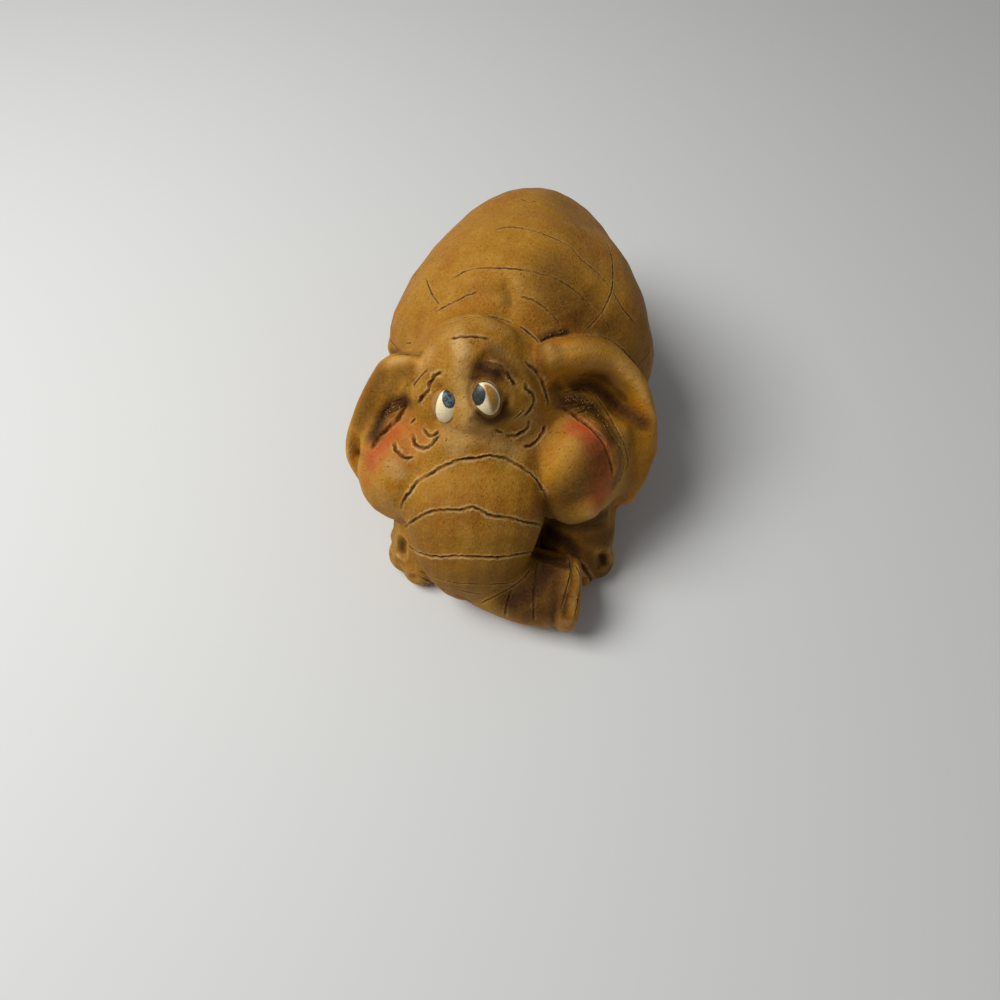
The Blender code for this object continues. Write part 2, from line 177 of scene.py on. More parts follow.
def stain_and_shade(*path: Pixel, width: float, strength: float) -> Stroke:
    """Dark wash brushed on along pixels; the strokes lay real stain in some places and painted shade in
    others.
    """
    return Stroke(Mark.STAIN_AND_SHADE, path, width, strength)


def blush(*path: Pixel, width: float, strength: float) -> Stroke:
    """Rosy paint brushed on along pixels."""
    return Stroke(Mark.BLUSH, path, width, strength)


def painted_highlight(*path: Pixel, width: float, strength: float) -> Stroke:
    """Painted highlight along pixels: pale clay colour laid where light falls on the clay."""
    return Stroke(Mark.WORN_AND_HIGHLIGHT, path, width, strength)


def crumbs(*path: Pixel, width: float, strength: float) -> Stroke:
    """Crumbs of clay left along pixels."""
    return Stroke(Mark.CRUMB, path, width, strength)


def grooves_along(paths: tuple[Path, ...], width: float, depth: float, lip: float = 0.8) -> list[Stroke]:
    """A line scratched with the tool along each of the paths."""
    return [groove(*path, width=width, depth=depth, lip=lip) for path in paths]


def linked(name: str, data: bpy.types.ID) -> bpy.types.Object:
    """Puts a new object into the scene.

    Args:
        name: its name.
        data: its mesh, lamp or camera.

    Returns:
        The object.
    """
    made = bpy.data.objects.new(name, data)
    bpy.context.scene.collection.objects.link(made)
    return made


def merged_mesh(node: str, name: str) -> bpy.types.Mesh:
    """A copy of a node's mesh with its doubles merged.

    Args:
        node: name of the node.
        name: name of the copy.

    Returns:
        The copy.
    """
    bm = bmesh.new()
    bm.from_mesh(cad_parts[node].data)
    bmesh.ops.remove_doubles(bm, verts=bm.verts, dist=WELD)
    mesh = bpy.data.meshes.new(name)
    bm.to_mesh(mesh)
    bm.free()
    return mesh


def write_values(mesh: bpy.types.Mesh, name: str, values: np.ndarray) -> None:
    """Writes a number for each point of a mesh, which its material reads.

    Args:
        mesh: the mesh.
        name: name of the attribute.
        values: the numbers, in the order of the points.
    """
    attribute = mesh.attributes.new(name, "FLOAT", "POINT")
    attribute.data.foreach_set("value", values.astype(np.float32))


def sides_of(faces: np.ndarray) -> np.ndarray:
    """The two ends of each side of the triangles: all first sides, then the second, then the third."""
    return np.vstack([faces[:, [0, 1]], faces[:, [1, 2]], faces[:, [2, 0]]])


def mesh_arrays(mesh: bpy.types.Mesh) -> Arrays:
    """A mesh as arrays.

    Args:
        mesh: the mesh.

    Returns:
        Its points and its triangles, one row each.
    """
    mesh.calc_loop_triangles()
    points = np.empty(len(mesh.vertices) * 3, np.float32)
    mesh.vertices.foreach_get("co", points)
    faces = np.empty(len(mesh.loop_triangles) * 3, np.int32)
    mesh.loop_triangles.foreach_get("vertices", faces)
    return points.reshape(-1, 3).astype(float), faces.reshape(-1, 3)


def distance_to_path(points: np.ndarray, path: np.ndarray) -> Arrays:
    """Distance of many points to a line of straight pieces.

    Args:
        points: the points, one row each.
        path: the line's own points, one row each.

    Returns:
        Each point's distance, and how far along the line its nearest place is, from 0 to 1.
    """
    best = np.full(len(points), np.inf)
    along = np.zeros(len(points))
    spans = max(len(path) - 1, 1)
    for k in range(spans):
        start, end = path[k], path[min(k + 1, len(path) - 1)]
        step = end - start
        length = float(step @ step)
        share = np.clip((points - start) @ step / length, 0, 1) if length > 0 else np.zeros(len(points))
        gap = np.linalg.norm(points - start - share[:, None] * step, axis=1)
        closer = gap < best
        best[closer] = gap[closer]
        along[closer] = ((k + share) / spans)[closer]
    return best, along


def smooth_path(path: np.ndarray, step: float) -> np.ndarray:
    """The smooth curve through a path's points, read at about every step.

    Args:
        path: the points that the curve passes, one row each.
        step: distance between two points of the result.

    Returns:
        The points of the curve, one row each.
    """
    if len(path) < 2:
        return path
    padded = np.vstack([2 * path[0] - path[1], path, 2 * path[-1] - path[-2]])
    found = []
    for k in range(1, len(padded) - 2):
        a, b, c, d = padded[k - 1:k + 3]
        count = max(1, int(np.linalg.norm(c - b) / step))
        for t in np.arange(count) / count:
            found.append(0.5 * (2 * b + (c - a) * t + (2 * a - 5 * b + 4 * c - d) * t**2
                                + (3 * b - a - 3 * c + d) * t**3))
    found.append(path[-1])
    return np.array(found)


@dataclass(frozen=True)
class Scratch:
    """The cross-section of a scratched line. Distances from the line are in its own half-widths.

    Args:
        reach: how far the clay is disturbed.
        refined: how far the triangles are halved, at the first halving and at the next ones.
        taper: how fast the line reaches its full depth from its ends.
        end_depth: share of the depth at its very ends.
        lip_at: where the raised lips stand.
        lip_width: how broad the lips are.
        lip_height: how high the lips are, as a share of the depth.
        wash_width: how far the dark wash reaches.
        wash: strength of the wash where the line is shallowest, and what full depth adds to it.
        worn_depth: depth in millimetres from which the lips are fully worn.
        width_wave: length in metres and share of the wander in the width; the next four are the same for
            the depth, the wash, the worn lips and the crumbs.
    """

    reach: float = 3.2
    refined: tuple[float, float] = (3.6, 2.6)
    taper: float = 9.0
    end_depth: float = 0.3
    lip_at: float = 1.8
    lip_width: float = 0.7
    lip_height: float = 0.32
    wash_width: float = 1.1
    wash: tuple[float, float] = (0.1, 0.75)
    worn_depth: float = 0.24
    width_wave: tuple[float, float] = (0.7 * MM, 0.5)
    depth_wave: tuple[float, float] = (1.1 * MM, 0.6)
    wash_wave: tuple[float, float] = (3.2 * MM, 0.9)
    worn_wave: tuple[float, float] = (1.7 * MM, 1.0)
    crumb_wave: tuple[float, float] = (2.1 * MM, 1.0)


class Skin:
    """The clay's surface as arrays, while it is worked on.

    VOXEL is the size of the triangles that the lumps are grown together with, GROWTH how far each lump grows,
    REACH how far the distance to a node is followed, and FAR what stands for a longer one. The steps are
    those at which a path is read, in pixels or in metres. PULL and SWELL are the two halves of a smoothing
    round, EDGE says how broad the fully smoothed part of a joint is, and SHAKE and SHAKE_WAVE are how far and
    over what length the tool's hand wanders.
    """

    VOXEL = 0.33 * MM
    GROWTH = 0.2 * MM
    REACH = 4.0 * MM
    FAR = 9.0 * MM
    BALL_PIXELS = 4.0
    STEP_PIXELS = 1.5
    STEP = 0.25 * MM
    PULL = 0.5
    SWELL = 0.52
    HOLLOW_PULL = 0.7
    EDGE = 1.35
    SHAKE = 0.12 * MM
    SHAKE_WAVE = 0.5 * MM
    SCRATCH = Scratch()

    def __init__(self, nodes: list[str], fills: list[Fill]) -> None:
        """Grows the nodes together.

        Args:
            nodes: names of the nodes that are of one clay.
            fills: clay that is pressed in between them.
        """
        self.nodes = nodes
        lumps = {name: self.lump(name) for name in nodes}
        self.points, self.faces = self.grown_together(lumps, fills)
        self.link()
        self.gaps = self.distances(lumps)
        self.paint = {mark: self.blank() for mark in (Mark.STAIN_AND_SHADE, Mark.BLUSH, Mark.WORN_AND_HIGHLIGHT, Mark.CRUMB)}

    def blank(self) -> np.ndarray:
        """A value of zero for each point."""
        return np.zeros(len(self.points))

    @staticmethod
    def lump(name: str) -> Arrays:
        """One node, its doubles merged.

        Args:
            name: name of the node.

        Returns:
            Its points and triangles.
        """
        mesh = merged_mesh(name, "lump")
        arrays = mesh_arrays(mesh)
        bpy.data.meshes.remove(mesh)
        return arrays

    @classmethod
    def pressed_in(cls, fills: list[Fill], solids: BVHTree) -> list[Arrays]:
        """Balls of clay along the fills' paths.

        Args:
            fills: the clay that is pressed in.
            solids: a search tree of the lumps.

        Returns:
            Points and triangles of each ball.
        """
        bm = bmesh.new()
        bmesh.ops.create_icosphere(bm, subdivisions=3, radius=1.0)
        mesh = bpy.data.meshes.new("ball")
        bm.to_mesh(mesh)
        bm.free()
        ball, faces = mesh_arrays(mesh)
        bpy.data.meshes.remove(mesh)
        found = []
        for fill in fills:
            for pixel in smooth_path(np.array(fill.path, float), cls.BALL_PIXELS):
                start, way = VIEW.ray(pixel)
                behind = solids.ray_cast(start, way)[0]
                if behind is not None:
                    centre = behind - way * (fill.rise - fill.radius) * MM
                    found.append((ball * fill.radius * MM + np.array(centre), faces))
        return found

    def grown_together(self, lumps: dict[str, Arrays], fills: list[Fill]) -> Arrays:
        """One closed surface around all the lumps, each of them grown by half a joint's gap.

        Args:
            lumps: points and triangles of each node.
            fills: clay that is pressed in between them.

        Returns:
            Points and triangles of the surface.
        """
        points, faces, start = [], [], 0
        for own_points, own_faces in lumps.values():
            points.append(own_points + corner_normals(own_points, own_faces) * self.GROWTH)
            faces.append(own_faces + start)
            start += len(own_points)
        solids = BVHTree.FromPolygons(np.vstack(points).tolist(), np.vstack(faces).tolist())
        for own_points, own_faces in self.pressed_in(fills, solids):
            points.append(own_points)
            faces.append(own_faces + start)
            start += len(own_points)
        mesh = bpy.data.meshes.new("lumps")
        mesh.from_pydata(np.vstack(points).tolist(), [], np.vstack(faces).tolist())
        rough = linked("lumps", mesh)
        remesh = rough.modifiers.new("grow_together", "REMESH")
        remesh.mode = "VOXEL"
        remesh.voxel_size = self.VOXEL
        graph = bpy.context.evaluated_depsgraph_get()
        whole = bpy.data.meshes.new_from_object(rough.evaluated_get(graph))
        arrays = mesh_arrays(whole)
        bpy.data.objects.remove(rough)
        bpy.data.meshes.remove(mesh)
        bpy.data.meshes.remove(whole)
        return outer_shell(*arrays)

    def link(self) -> None:
        """Finds the edges again after the triangles have changed."""
        self.edges = np.unique(np.sort(sides_of(self.faces), axis=1), axis=0)
        self.degree = np.maximum(np.bincount(self.edges.ravel(), minlength=len(self.points)), 1)

    def distances(self, lumps: dict[str, Arrays]) -> np.ndarray:
        """Distance of each point to each node, as far as REACH; past that it is FAR.

        Args:
            lumps: points and triangles of each node.

        Returns:
            One row for each node.
        """
        found = np.full((len(self.nodes), len(self.points)), self.FAR, np.float32)
        for row, name in enumerate(self.nodes):
            own_points, own_faces = lumps[name]
            tree = BVHTree.FromPolygons(own_points.tolist(), own_faces.tolist())
            for index in self.rows_near(own_points, self.REACH):
                gap = tree.find_nearest(Vector(self.points[index]), self.REACH)[3]
                if gap is not None:
                    found[row, index] = gap
        return found

    def rows_near(self, path: np.ndarray, reach: float) -> np.ndarray:
        """The skin's points in the box around a path or a lump.

        Args:
            path: the points of the path or the lump.
            reach: how far the box is widened on each side, in metres.

        Returns:
            Their row numbers.
        """
        near = (self.points > path.min(0) - reach) & (self.points < path.max(0) + reach)
        return np.flatnonzero(near.all(axis=1))

    def mean_of_neighbours(self, values: np.ndarray) -> np.ndarray:
        """Mean of the neighbours' values at each point.

        Args:
            values: one number or one row of numbers for each point.

        Returns:
            The means, in the same form.
        """
        a, b = self.edges[:, 0], self.edges[:, 1]
        count = len(self.points)
        columns = values.reshape(count, -1)
        total = np.empty_like(columns)
        for k in range(columns.shape[1]):
            total[:, k] = (np.bincount(a, columns[b, k], count) + np.bincount(b, columns[a, k], count))
        return (total / self.degree[:, None]).reshape(values.shape)

    def relax(self, rounds: int, weight: np.ndarray | float, keep: float = 0.0) -> None:
        """Smooths the surface.

        Args:
            rounds: how many times.
            weight: 0 leaves a point where it is, and 1 smooths it fully.
            keep: 1 swells it back after each round, which keeps its volume.
        """
        weight = np.broadcast_to(weight, len(self.points))
        rows = np.flatnonzero(weight > 0)
        number = np.full(len(self.points), -1)
        number[rows] = np.arange(len(rows))
        ends = np.vstack([self.edges, self.edges[:, ::-1]])
        ends = ends[number[ends[:, 0]] >= 0]
        own, other = number[ends[:, 0]], ends[:, 1]

        def pull() -> np.ndarray:
            """The way from each point to the mean of its neighbours, as far as its weight goes."""
            total = np.column_stack([np.bincount(own, self.points[other, k], len(rows)) for k in range(3)])
            return (total / self.degree[rows, None] - self.points[rows]) * weight[rows, None]

        for _ in range(rounds):
            self.points[rows] += self.PULL * pull()
            if keep:
                self.points[rows] -= self.SWELL * keep * pull()

    def blend(self, first: str, second: str, width: float, rounds: int) -> None:
        """Smooths the joint of two nodes away.

        Args:
            first: one node.
            second: the other node.
            width: how far from the joint the smoothing reaches.
            rounds: how many times it is smoothed.
        """
        both = np.maximum(self.gaps[self.nodes.index(first)], self.gaps[self.nodes.index(second)])
        weight = np.clip(self.EDGE - both / width, 0.0, 1.0)
        steps = rounds
        self.relax(steps, weight)

    def soften(self, rub: Rub) -> None:
        """Smooths the surface where the fingers passed.

        Args:
            rub: where they passed, how broadly and how often.
        """
        line = self.on_skin(Stroke(Mark.FORM, rub.path), self.tree())
        gap = np.full(len(self.points), np.inf)
        self.nearest(line, rub.width * MM / 3, gap)
        # The gap counts thirds of the width: the first is fully smoothed, and the others fade out.
        fade = np.clip(1.5 - gap / 2, 0.0, 1.0)
        self.relax(rub.rounds, fade)

    def normals(self) -> np.ndarray:
        """The outward normal at each point."""
        return corner_normals(self.points, self.faces)

    def tree(self) -> BVHTree:
        """A search tree of the surface as it is now."""
        return BVHTree.FromPolygons(self.points.tolist(), self.faces.tolist())

    def on_skin(self, stroke: Stroke, tree: BVHTree) -> np.ndarray:
        """The stroke's path laid on the surface.

        Args:
            stroke: the stroke.
            tree: the surface's search tree.

        Returns:
            Points in the row frame, one row each.
        """
        if stroke.points:
            path = smooth_path(np.array(stroke.points, float) * MM, self.STEP)
            found = [tree.find_nearest(Vector(point))[0] for point in path]
        else:
            path = smooth_path(np.array(stroke.path, float), self.STEP_PIXELS)
            found = [tree.ray_cast(*VIEW.ray(pixel))[0] for pixel in path]
        found = [place for place in found if place is not None]
        if stroke.mark is Mark.GROOVE:
            found = [place + noise.noise_vector(place / self.SHAKE_WAVE) * self.SHAKE for place in found]
        return np.array([tuple(place) for place in found])

    def refine(self, strokes: list[Stroke], rounds: int) -> None:
        """Splits the triangles along grooves, so that they can hold a thin line.

        Args:
            strokes: the strokes that need fine triangles.
            rounds: how many times their edges are halved.
        """
        tree = self.tree()
        paths = [(self.on_skin(stroke, tree), stroke.width * MM) for stroke in strokes]
        for step in range(rounds):
            near = np.full(len(self.points), np.inf)
            for path, width in paths:
                self.nearest(path, width, near)
            self.halve(near < self.SCRATCH.refined[min(step, 1)])

    def nearest(self, path: np.ndarray, width: float, best: np.ndarray) -> None:
        """Lowers best to the distance from a path where that is shorter.

        Args:
            path: the points of the path.
            width: the unit that the distance is given in.
            best: the distance at each point of the skin, which is changed.
        """
        if len(path) == 0:
            return
        rows = self.rows_near(path, 4.0 * width)
        gap = distance_to_path(self.points[rows], path)[0] / width
        best[rows] = np.minimum(best[rows], gap)

    def halve(self, chosen: np.ndarray) -> None:
        """Halves each edge whose two ends are chosen.

        Args:
            chosen: whether each point is chosen.
        """
        cut = chosen[self.edges].all(axis=1)
        ends = self.edges[cut]
        total = len(self.points)
        middle = {(int(a), int(b)): total + k for k, (a, b) in enumerate(ends)}
        self.points = np.vstack([self.points, self.points[ends].mean(axis=1)])
        self.gaps = np.hstack([self.gaps, self.gaps[:, ends].mean(axis=2)])
        for mark, values in self.paint.items():
            self.paint[mark] = np.concatenate([values, values[ends].mean(axis=1)])
        touched = chosen[self.faces].sum(axis=1) >= 2
        split = []
        for a, b, c in self.faces[touched].tolist():
            split.extend(self.parts_of(a, b, c, middle))
        self.faces = np.vstack([self.faces[~touched], np.array(split, np.int32).reshape(-1, 3)])
        self.link()

    @staticmethod
    def parts_of(a: int, b: int, c: int, middle: dict[tuple[int, int], int]) -> list[tuple[int, int, int]]:
        """The triangles that stand for one whose edges may be halved.

        Args:
            a: first corner.
            b: second corner.
            c: third corner.
            middle: the new point of each halved edge, by its two ends in order.

        Returns:
            One to four triangles with the same facing.
        """
        ab, bc, ca = (middle.get((min(p, q), max(p, q))) for p, q in ((a, b), (b, c), (c, a)))
        made = [m for m in (ab, bc, ca) if m is not None]
        if len(made) == 3:
            return [(a, ab, ca), (b, bc, ab), (c, ca, bc), (ab, bc, ca)]
        if not made:
            return [(a, b, c)]
        while ab is None or (len(made) == 2 and ca is not None):
            a, b, c, ab, bc, ca = b, c, a, bc, ca, ab
        if len(made) == 1:
            return [(a, ab, c), (ab, b, c)]
        return [(ab, b, bc), (a, ab, bc), (a, bc, c)]

    def apply(self, strokes: list[Stroke]) -> None:
        """Works all the strokes of one kind into the surface at once.

        Args:
            strokes: the strokes, in any order.
        """
        tree = self.tree()
        normals = self.normals()
        lift = self.blank()
        for stroke in strokes:
            path = self.on_skin(stroke, tree)
            if len(path) == 0:
                LOG.warning("a stroke at %s misses the clay", stroke.path[:1])
                continue
            reach = stroke.width * MM * (self.SCRATCH.reach if stroke.mark is Mark.GROOVE else 1.0)
            rows = self.rows_near(path, reach)
            gap, along = distance_to_path(self.points[rows], path)
            gap = gap / (stroke.width * MM)
            fall = np.clip(1 - gap**2, 0, 1) ** 2
            if stroke.mark is Mark.GROOVE:
                self.scratch(stroke, rows, gap, along, lift)
            elif stroke.mark is Mark.FORM:
                lift[rows] += fall * stroke.amount * MM
            else:
                self.raise_to(stroke.mark, rows, fall * stroke.amount)
        self.points = self.points + normals * lift[:, None]

    def scratch(self, stroke: Stroke, rows: np.ndarray, gap: np.ndarray, along: np.ndarray,
                lift: np.ndarray) -> None:
        """Adds one line of the tool to the lift, with its wash, its worn lips and their crumbs.

        Args:
            stroke: the line.
            rows: the points that it may reach.
            gap: their distance from its path, in half-widths.
            along: how far along the path they are, from 0 to 1.
            lift: the lift of every point, which is changed.
        """
        tool = self.SCRATCH
        ends = np.clip(np.minimum(along, 1 - along) * tool.taper + tool.end_depth, 0, 1)
        gap = gap / self.unevenness(rows, *tool.width_wave)
        depth = ends * self.unevenness(rows, *tool.depth_wave)
        valley = np.exp(-(gap**2))
        lips = np.exp(-(((gap - tool.lip_at) / tool.lip_width) ** 2))
        lift[rows] += depth * stroke.amount * MM * (tool.lip_height * stroke.lip * lips - valley)
        least, added = tool.wash
        washed = np.clip(least + added * depth * self.unevenness(rows, *tool.wash_wave), 0, 1)
        self.raise_to(Mark.STAIN_AND_SHADE, rows, np.exp(-((gap / tool.wash_width) ** 2)) * washed)
        share = stroke.lip * min(1.0, stroke.amount / tool.worn_depth)
        worn = np.clip(lips * depth * self.unevenness(rows, *tool.worn_wave), 0, 1)
        self.raise_to(Mark.WORN_AND_HIGHLIGHT, rows, worn * share)
        crumb = np.clip(lips * depth * self.unevenness(rows, *tool.crumb_wave), 0, 1)
        self.raise_to(Mark.CRUMB, rows, stroke.lip * crumb)

    def unevenness(self, rows: np.ndarray, size: float, share: float) -> np.ndarray:
        """A value around 1 that wanders over the surface.

        Args:
            rows: the points that it is wanted for.
            size: length of its waves in metres.
            share: how far it may go from 1.

        Returns:
            The value at each of the points.
        """
        return 1.0 + share * np.array([noise.noise(Vector(p) / size) for p in self.points[rows].tolist()])

    def raise_to(self, mark: Mark, rows: np.ndarray, values: np.ndarray) -> None:
        """Raises paint to the values where they are higher."""
        self.paint[mark][rows] = np.maximum(self.paint[mark][rows], values)

    def knead(self, amount: float, size: float, seed: float) -> None:
        """Uneven pressure of the fingers: a soft wave in the surface.

        Args:
            amount: height of the wave in metres.
            size: length of the wave in metres.
            seed: moves the pattern.
        """
        shift = Vector((seed, seed * 0.7, -seed))
        wave = np.array([noise.noise(Vector(p) / size + shift) for p in self.points.tolist()])
        self.points = self.points + self.normals() * (wave * amount)[:, None]

    def settle(self) -> None:
        """Flattens what reaches below the ground."""
        self.points[:, 2] = np.maximum(self.points[:, 2], 0.0)

    def hollows(self, rounds: int) -> np.ndarray:
        """How far each point lies under the smoothed surface.

        Args:
            rounds: how many times the surface is smoothed for it.

        Returns:
            The depth of each point in metres; on ridges it is below zero.
        """
        smooth = self.points
        for _ in range(rounds):
            smooth = smooth + self.HOLLOW_PULL * (self.mean_of_neighbours(smooth) - smooth)
        return np.einsum("ij,ij->i", smooth - self.points, self.normals())

    def owners(self) -> np.ndarray:
        """Gives each triangle to its nearest node, and stray patches to their neighbour.

        Returns:
            For each triangle, the row of the node that it belongs to.
        """
        owner = self.gaps[:, self.faces].mean(axis=2).argmin(axis=0)
        face_of_side = np.tile(np.arange(len(self.faces)), 3)
        order = np.lexsort(np.sort(sides_of(self.faces), axis=1).T[::-1])
        pairs = face_of_side[order].reshape(-1, 2)
        patch = self.patches(owner, pairs)
        sizes = np.bincount(patch, minlength=len(owner))
        largest = np.zeros(len(self.nodes), int)
        np.maximum.at(largest, owner, sizes[patch])
        stray = sizes[patch] < largest[owner]
        while stray.any():
            rim = np.concatenate([pairs, pairs[:, ::-1]])
            rim = rim[stray[rim[:, 0]] & ~stray[rim[:, 1]]]
            owner[rim[:, 0]] = owner[rim[:, 1]]
            stray[rim[:, 0]] = False
        return owner

    @staticmethod
    def patches(owner: np.ndarray, pairs: np.ndarray) -> np.ndarray:
        """Numbers the connected patches of triangles that have the same owner."""
        return connected(len(owner), pairs[owner[pairs[:, 0]] == owner[pairs[:, 1]]])


def corner_normals(points: np.ndarray, faces: np.ndarray) -> np.ndarray:
    """Normals of the points, from the triangles around them.

    Args:
        points: the points, one row each.
        faces: the triangles.

    Returns:
        The outward normals, one row each.
    """
    a, b, c = points[faces[:, 0]], points[faces[:, 1]], points[faces[:, 2]]
    cross = np.cross(b - a, c - a)
    total = np.zeros_like(points)
    for corner in range(3):
        for axis in range(3):
            total[:, axis] += np.bincount(faces[:, corner], cross[:, axis], len(points))
    length = np.linalg.norm(total, axis=1)
    return total / np.maximum(length, 1e-20)[:, None]


def connected(count: int, pairs: np.ndarray) -> np.ndarray:
    """Numbers the connected groups of things that are joined in pairs.

    Args:
        count: how many things there are.
        pairs: two joined things in each row.

    Returns:
        The number of each thing's group, which is the lowest number of a thing in it.
    """
    group = np.arange(count)
    a, b = pairs.T
    while (group[a] != group[b]).any():
        low = np.minimum(group[a], group[b])
        np.minimum.at(group, group[a], low)
        np.minimum.at(group, group[b], low)
        group = group[group]
    return group


def outer_shell(points: np.ndarray, faces: np.ndarray) -> Arrays:
    """The largest closed surface of several.

    Args:
        points: the points, one row each.
        faces: the triangles.

    Returns:
        Its points and triangles.
    """
    group = connected(len(points), np.vstack([faces[:, :2], faces[:, 1:]]))
    kept = group == np.bincount(group).argmax()
    number = np.cumsum(kept) - 1
    return points[kept], number[faces[kept[faces[:, 0]]]]


@dataclass(frozen=True)
class Joint:
    """A seam between two lumps that the fingers have smoothed."""

    first: str
    second: str
    width: float
    rounds: int


@dataclass(frozen=True)
class ClayFinish:
    """Colours and grain of stained clay."""

    name: str
    base: Colour = (0.340, 0.150, 0.010)
    warm: Colour = (0.300, 0.112, 0.006)
    pale: Colour = (0.450, 0.250, 0.045)
    # Pale clay colour, for real wear and for painted highlights.
    worn: Colour = (0.560, 0.350, 0.130)
    # The wash's dark brown, for real stain and for painted shade.
    stain_and_shade: Colour = (0.040, 0.013, 0.003)
    blush: Colour = (0.400, 0.066, 0.014)
    roughness: float = 0.55
    shine: float = 0.12
    pit_depth: float = 0.2 * MM


@dataclass(frozen=True)
class EyeFinish:
    """Colours of a painted eye."""

    name: str
    white: Colour = (0.86, 0.72, 0.43)
    ochre: Colour = (0.36, 0.185, 0.03)
    slate: Colour = (0.070, 0.115, 0.120)
    dark: Colour = (0.006, 0.008, 0.010)
    clay: Colour = (0.30, 0.13, 0.012)
    chipped: Colour = (0.16, 0.085, 0.03)
    grime: Colour = (0.03, 0.012, 0.004)
    roughness: float = 0.38
    bump: float = 0.02 * MM


@dataclass(frozen=True)
class Cloud:
    """One layer of an uneven pattern: a noise that is spread over a range.

    Args:
        size: length of its waves in metres.
        detail: how many finer waves it holds.
        roughness: how strong those are.
        low: noise below which the layer doesn't show.
        high: noise above which it shows fully.
        strength: how strong it is where it shows fully.
    """

    size: float
    detail: float
    roughness: float
    low: float
    high: float
    strength: float = 1.0


class Tree:
    """A shader or geometry node tree that is being laid out."""

    def __init__(self, tree: bpy.types.NodeTree) -> None:
        """Takes the tree that the nodes go in."""
        self.tree = tree

    def node(self, kind: str, links: dict[int | str, bpy.types.NodeSocket] | None = None,
             **values: object) -> bpy.types.Node:
        """Adds a node.

        Args:
            kind: the node's type name.
            links: outputs that feed its inputs, by the input's name or number.
            values: its own settings.

        Returns:
            The node.
        """
        made = self.tree.nodes.new(kind)
        for key, value in values.items():
            setattr(made, key, value)
        for key, source in (links or {}).items():
            self.tree.links.new(source, made.inputs[key])
        return made

    def ramp(self, value: bpy.types.NodeSocket, low: float, high: float,
             ends: tuple[float, float] = (0.0, 1.0)) -> bpy.types.NodeSocket:
        """Spreads a value smoothly over a range.

        Args:
            value: the value.
            low: where the range starts.
            high: where the range ends.
            ends: the result below low and above high.

        Returns:
            The result.
        """
        made = self.node("ShaderNodeMapRange", {0: value}, interpolation_type="SMOOTHSTEP")
        for key, number in zip((1, 2, 3, 4), (low, high, *ends)):
            made.inputs[key].default_value = number
        return made.outputs[0]

    def cloud(self, place: bpy.types.NodeSocket, layer: Cloud) -> bpy.types.NodeSocket:
        """Where a layer of an uneven pattern shows."""
        value = self.noise(place, layer.size, layer.detail, layer.roughness)
        return self.ramp(value, layer.low, layer.high, (0.0, layer.strength))

    def place(self) -> bpy.types.NodeSocket:
        """Object coordinates."""
        return self.node("ShaderNodeTexCoord").outputs["Object"]

    def carried(self, name: str) -> bpy.types.NodeSocket:
        """The number that the mesh carries under a name."""
        return self.node("ShaderNodeAttribute", attribute_name=name).outputs["Fac"]

    def bump(self, height: bpy.types.NodeSocket, distance: float) -> bpy.types.NodeSocket:
        """A normal that is bent by a height.

        Args:
            height: the height.
            distance: how far a height of 1 stands out, in metres.

        Returns:
            The normal.
        """
        made = self.node("ShaderNodeBump", {"Height": height})
        made.inputs["Distance"].default_value = distance
        return made.outputs[0]

    def feed(self, socket: bpy.types.NodeSocket, value: object) -> None:
        """Gives an input what it takes.

        Args:
            socket: the input.
            value: an output that feeds it, a number, or a colour.
        """
        if isinstance(value, bpy.types.NodeSocket):
            self.tree.links.new(value, socket)
        else:
            socket.default_value = (*value, 1.0) if isinstance(value, tuple) else value

    def maths(self, operation: str, first: bpy.types.NodeSocket | float,
              second: bpy.types.NodeSocket | float = 0.0) -> bpy.types.NodeSocket:
        """Adds a sum on two values.

        Args:
            operation: what is done with them.
            first: a socket or a number.
            second: a socket or a number.

        Returns:
            The result.
        """
        made = self.node("ShaderNodeMath", operation=operation)
        for key, value in enumerate((first, second)):
            self.feed(made.inputs[key], value)
        return made.outputs[0]

    def mix(self, factor: bpy.types.NodeSocket, first: object, second: object) -> bpy.types.NodeSocket:
        """Mixes two colours.

        Args:
            factor: 0 gives the first and 1 the second.
            first: a socket or a colour.
            second: a socket or a colour.

        Returns:
            The mixed colour.
        """
        made = self.node("ShaderNodeMix", {0: factor}, data_type="RGBA")
        self.feed(made.inputs[6], first)
        self.feed(made.inputs[7], second)
        return made.outputs[2]

    def noise(self, place: bpy.types.NodeSocket, size: float, detail: float = 2.0,
              roughness: float = 0.5) -> bpy.types.NodeSocket:
        """Adds an even noise.

        Args:
            place: the coordinates.
            size: length of its waves in metres.
            detail: how many finer waves it holds.
            roughness: how strong those are.

        Returns:
            Its value.
        """
        made = self.node("ShaderNodeTexNoise", {"Vector": place})
        made.inputs["Scale"].default_value = 1.0 / size
        made.inputs["Detail"].default_value = detail
        made.inputs["Roughness"].default_value = roughness
        return made.outputs[0]


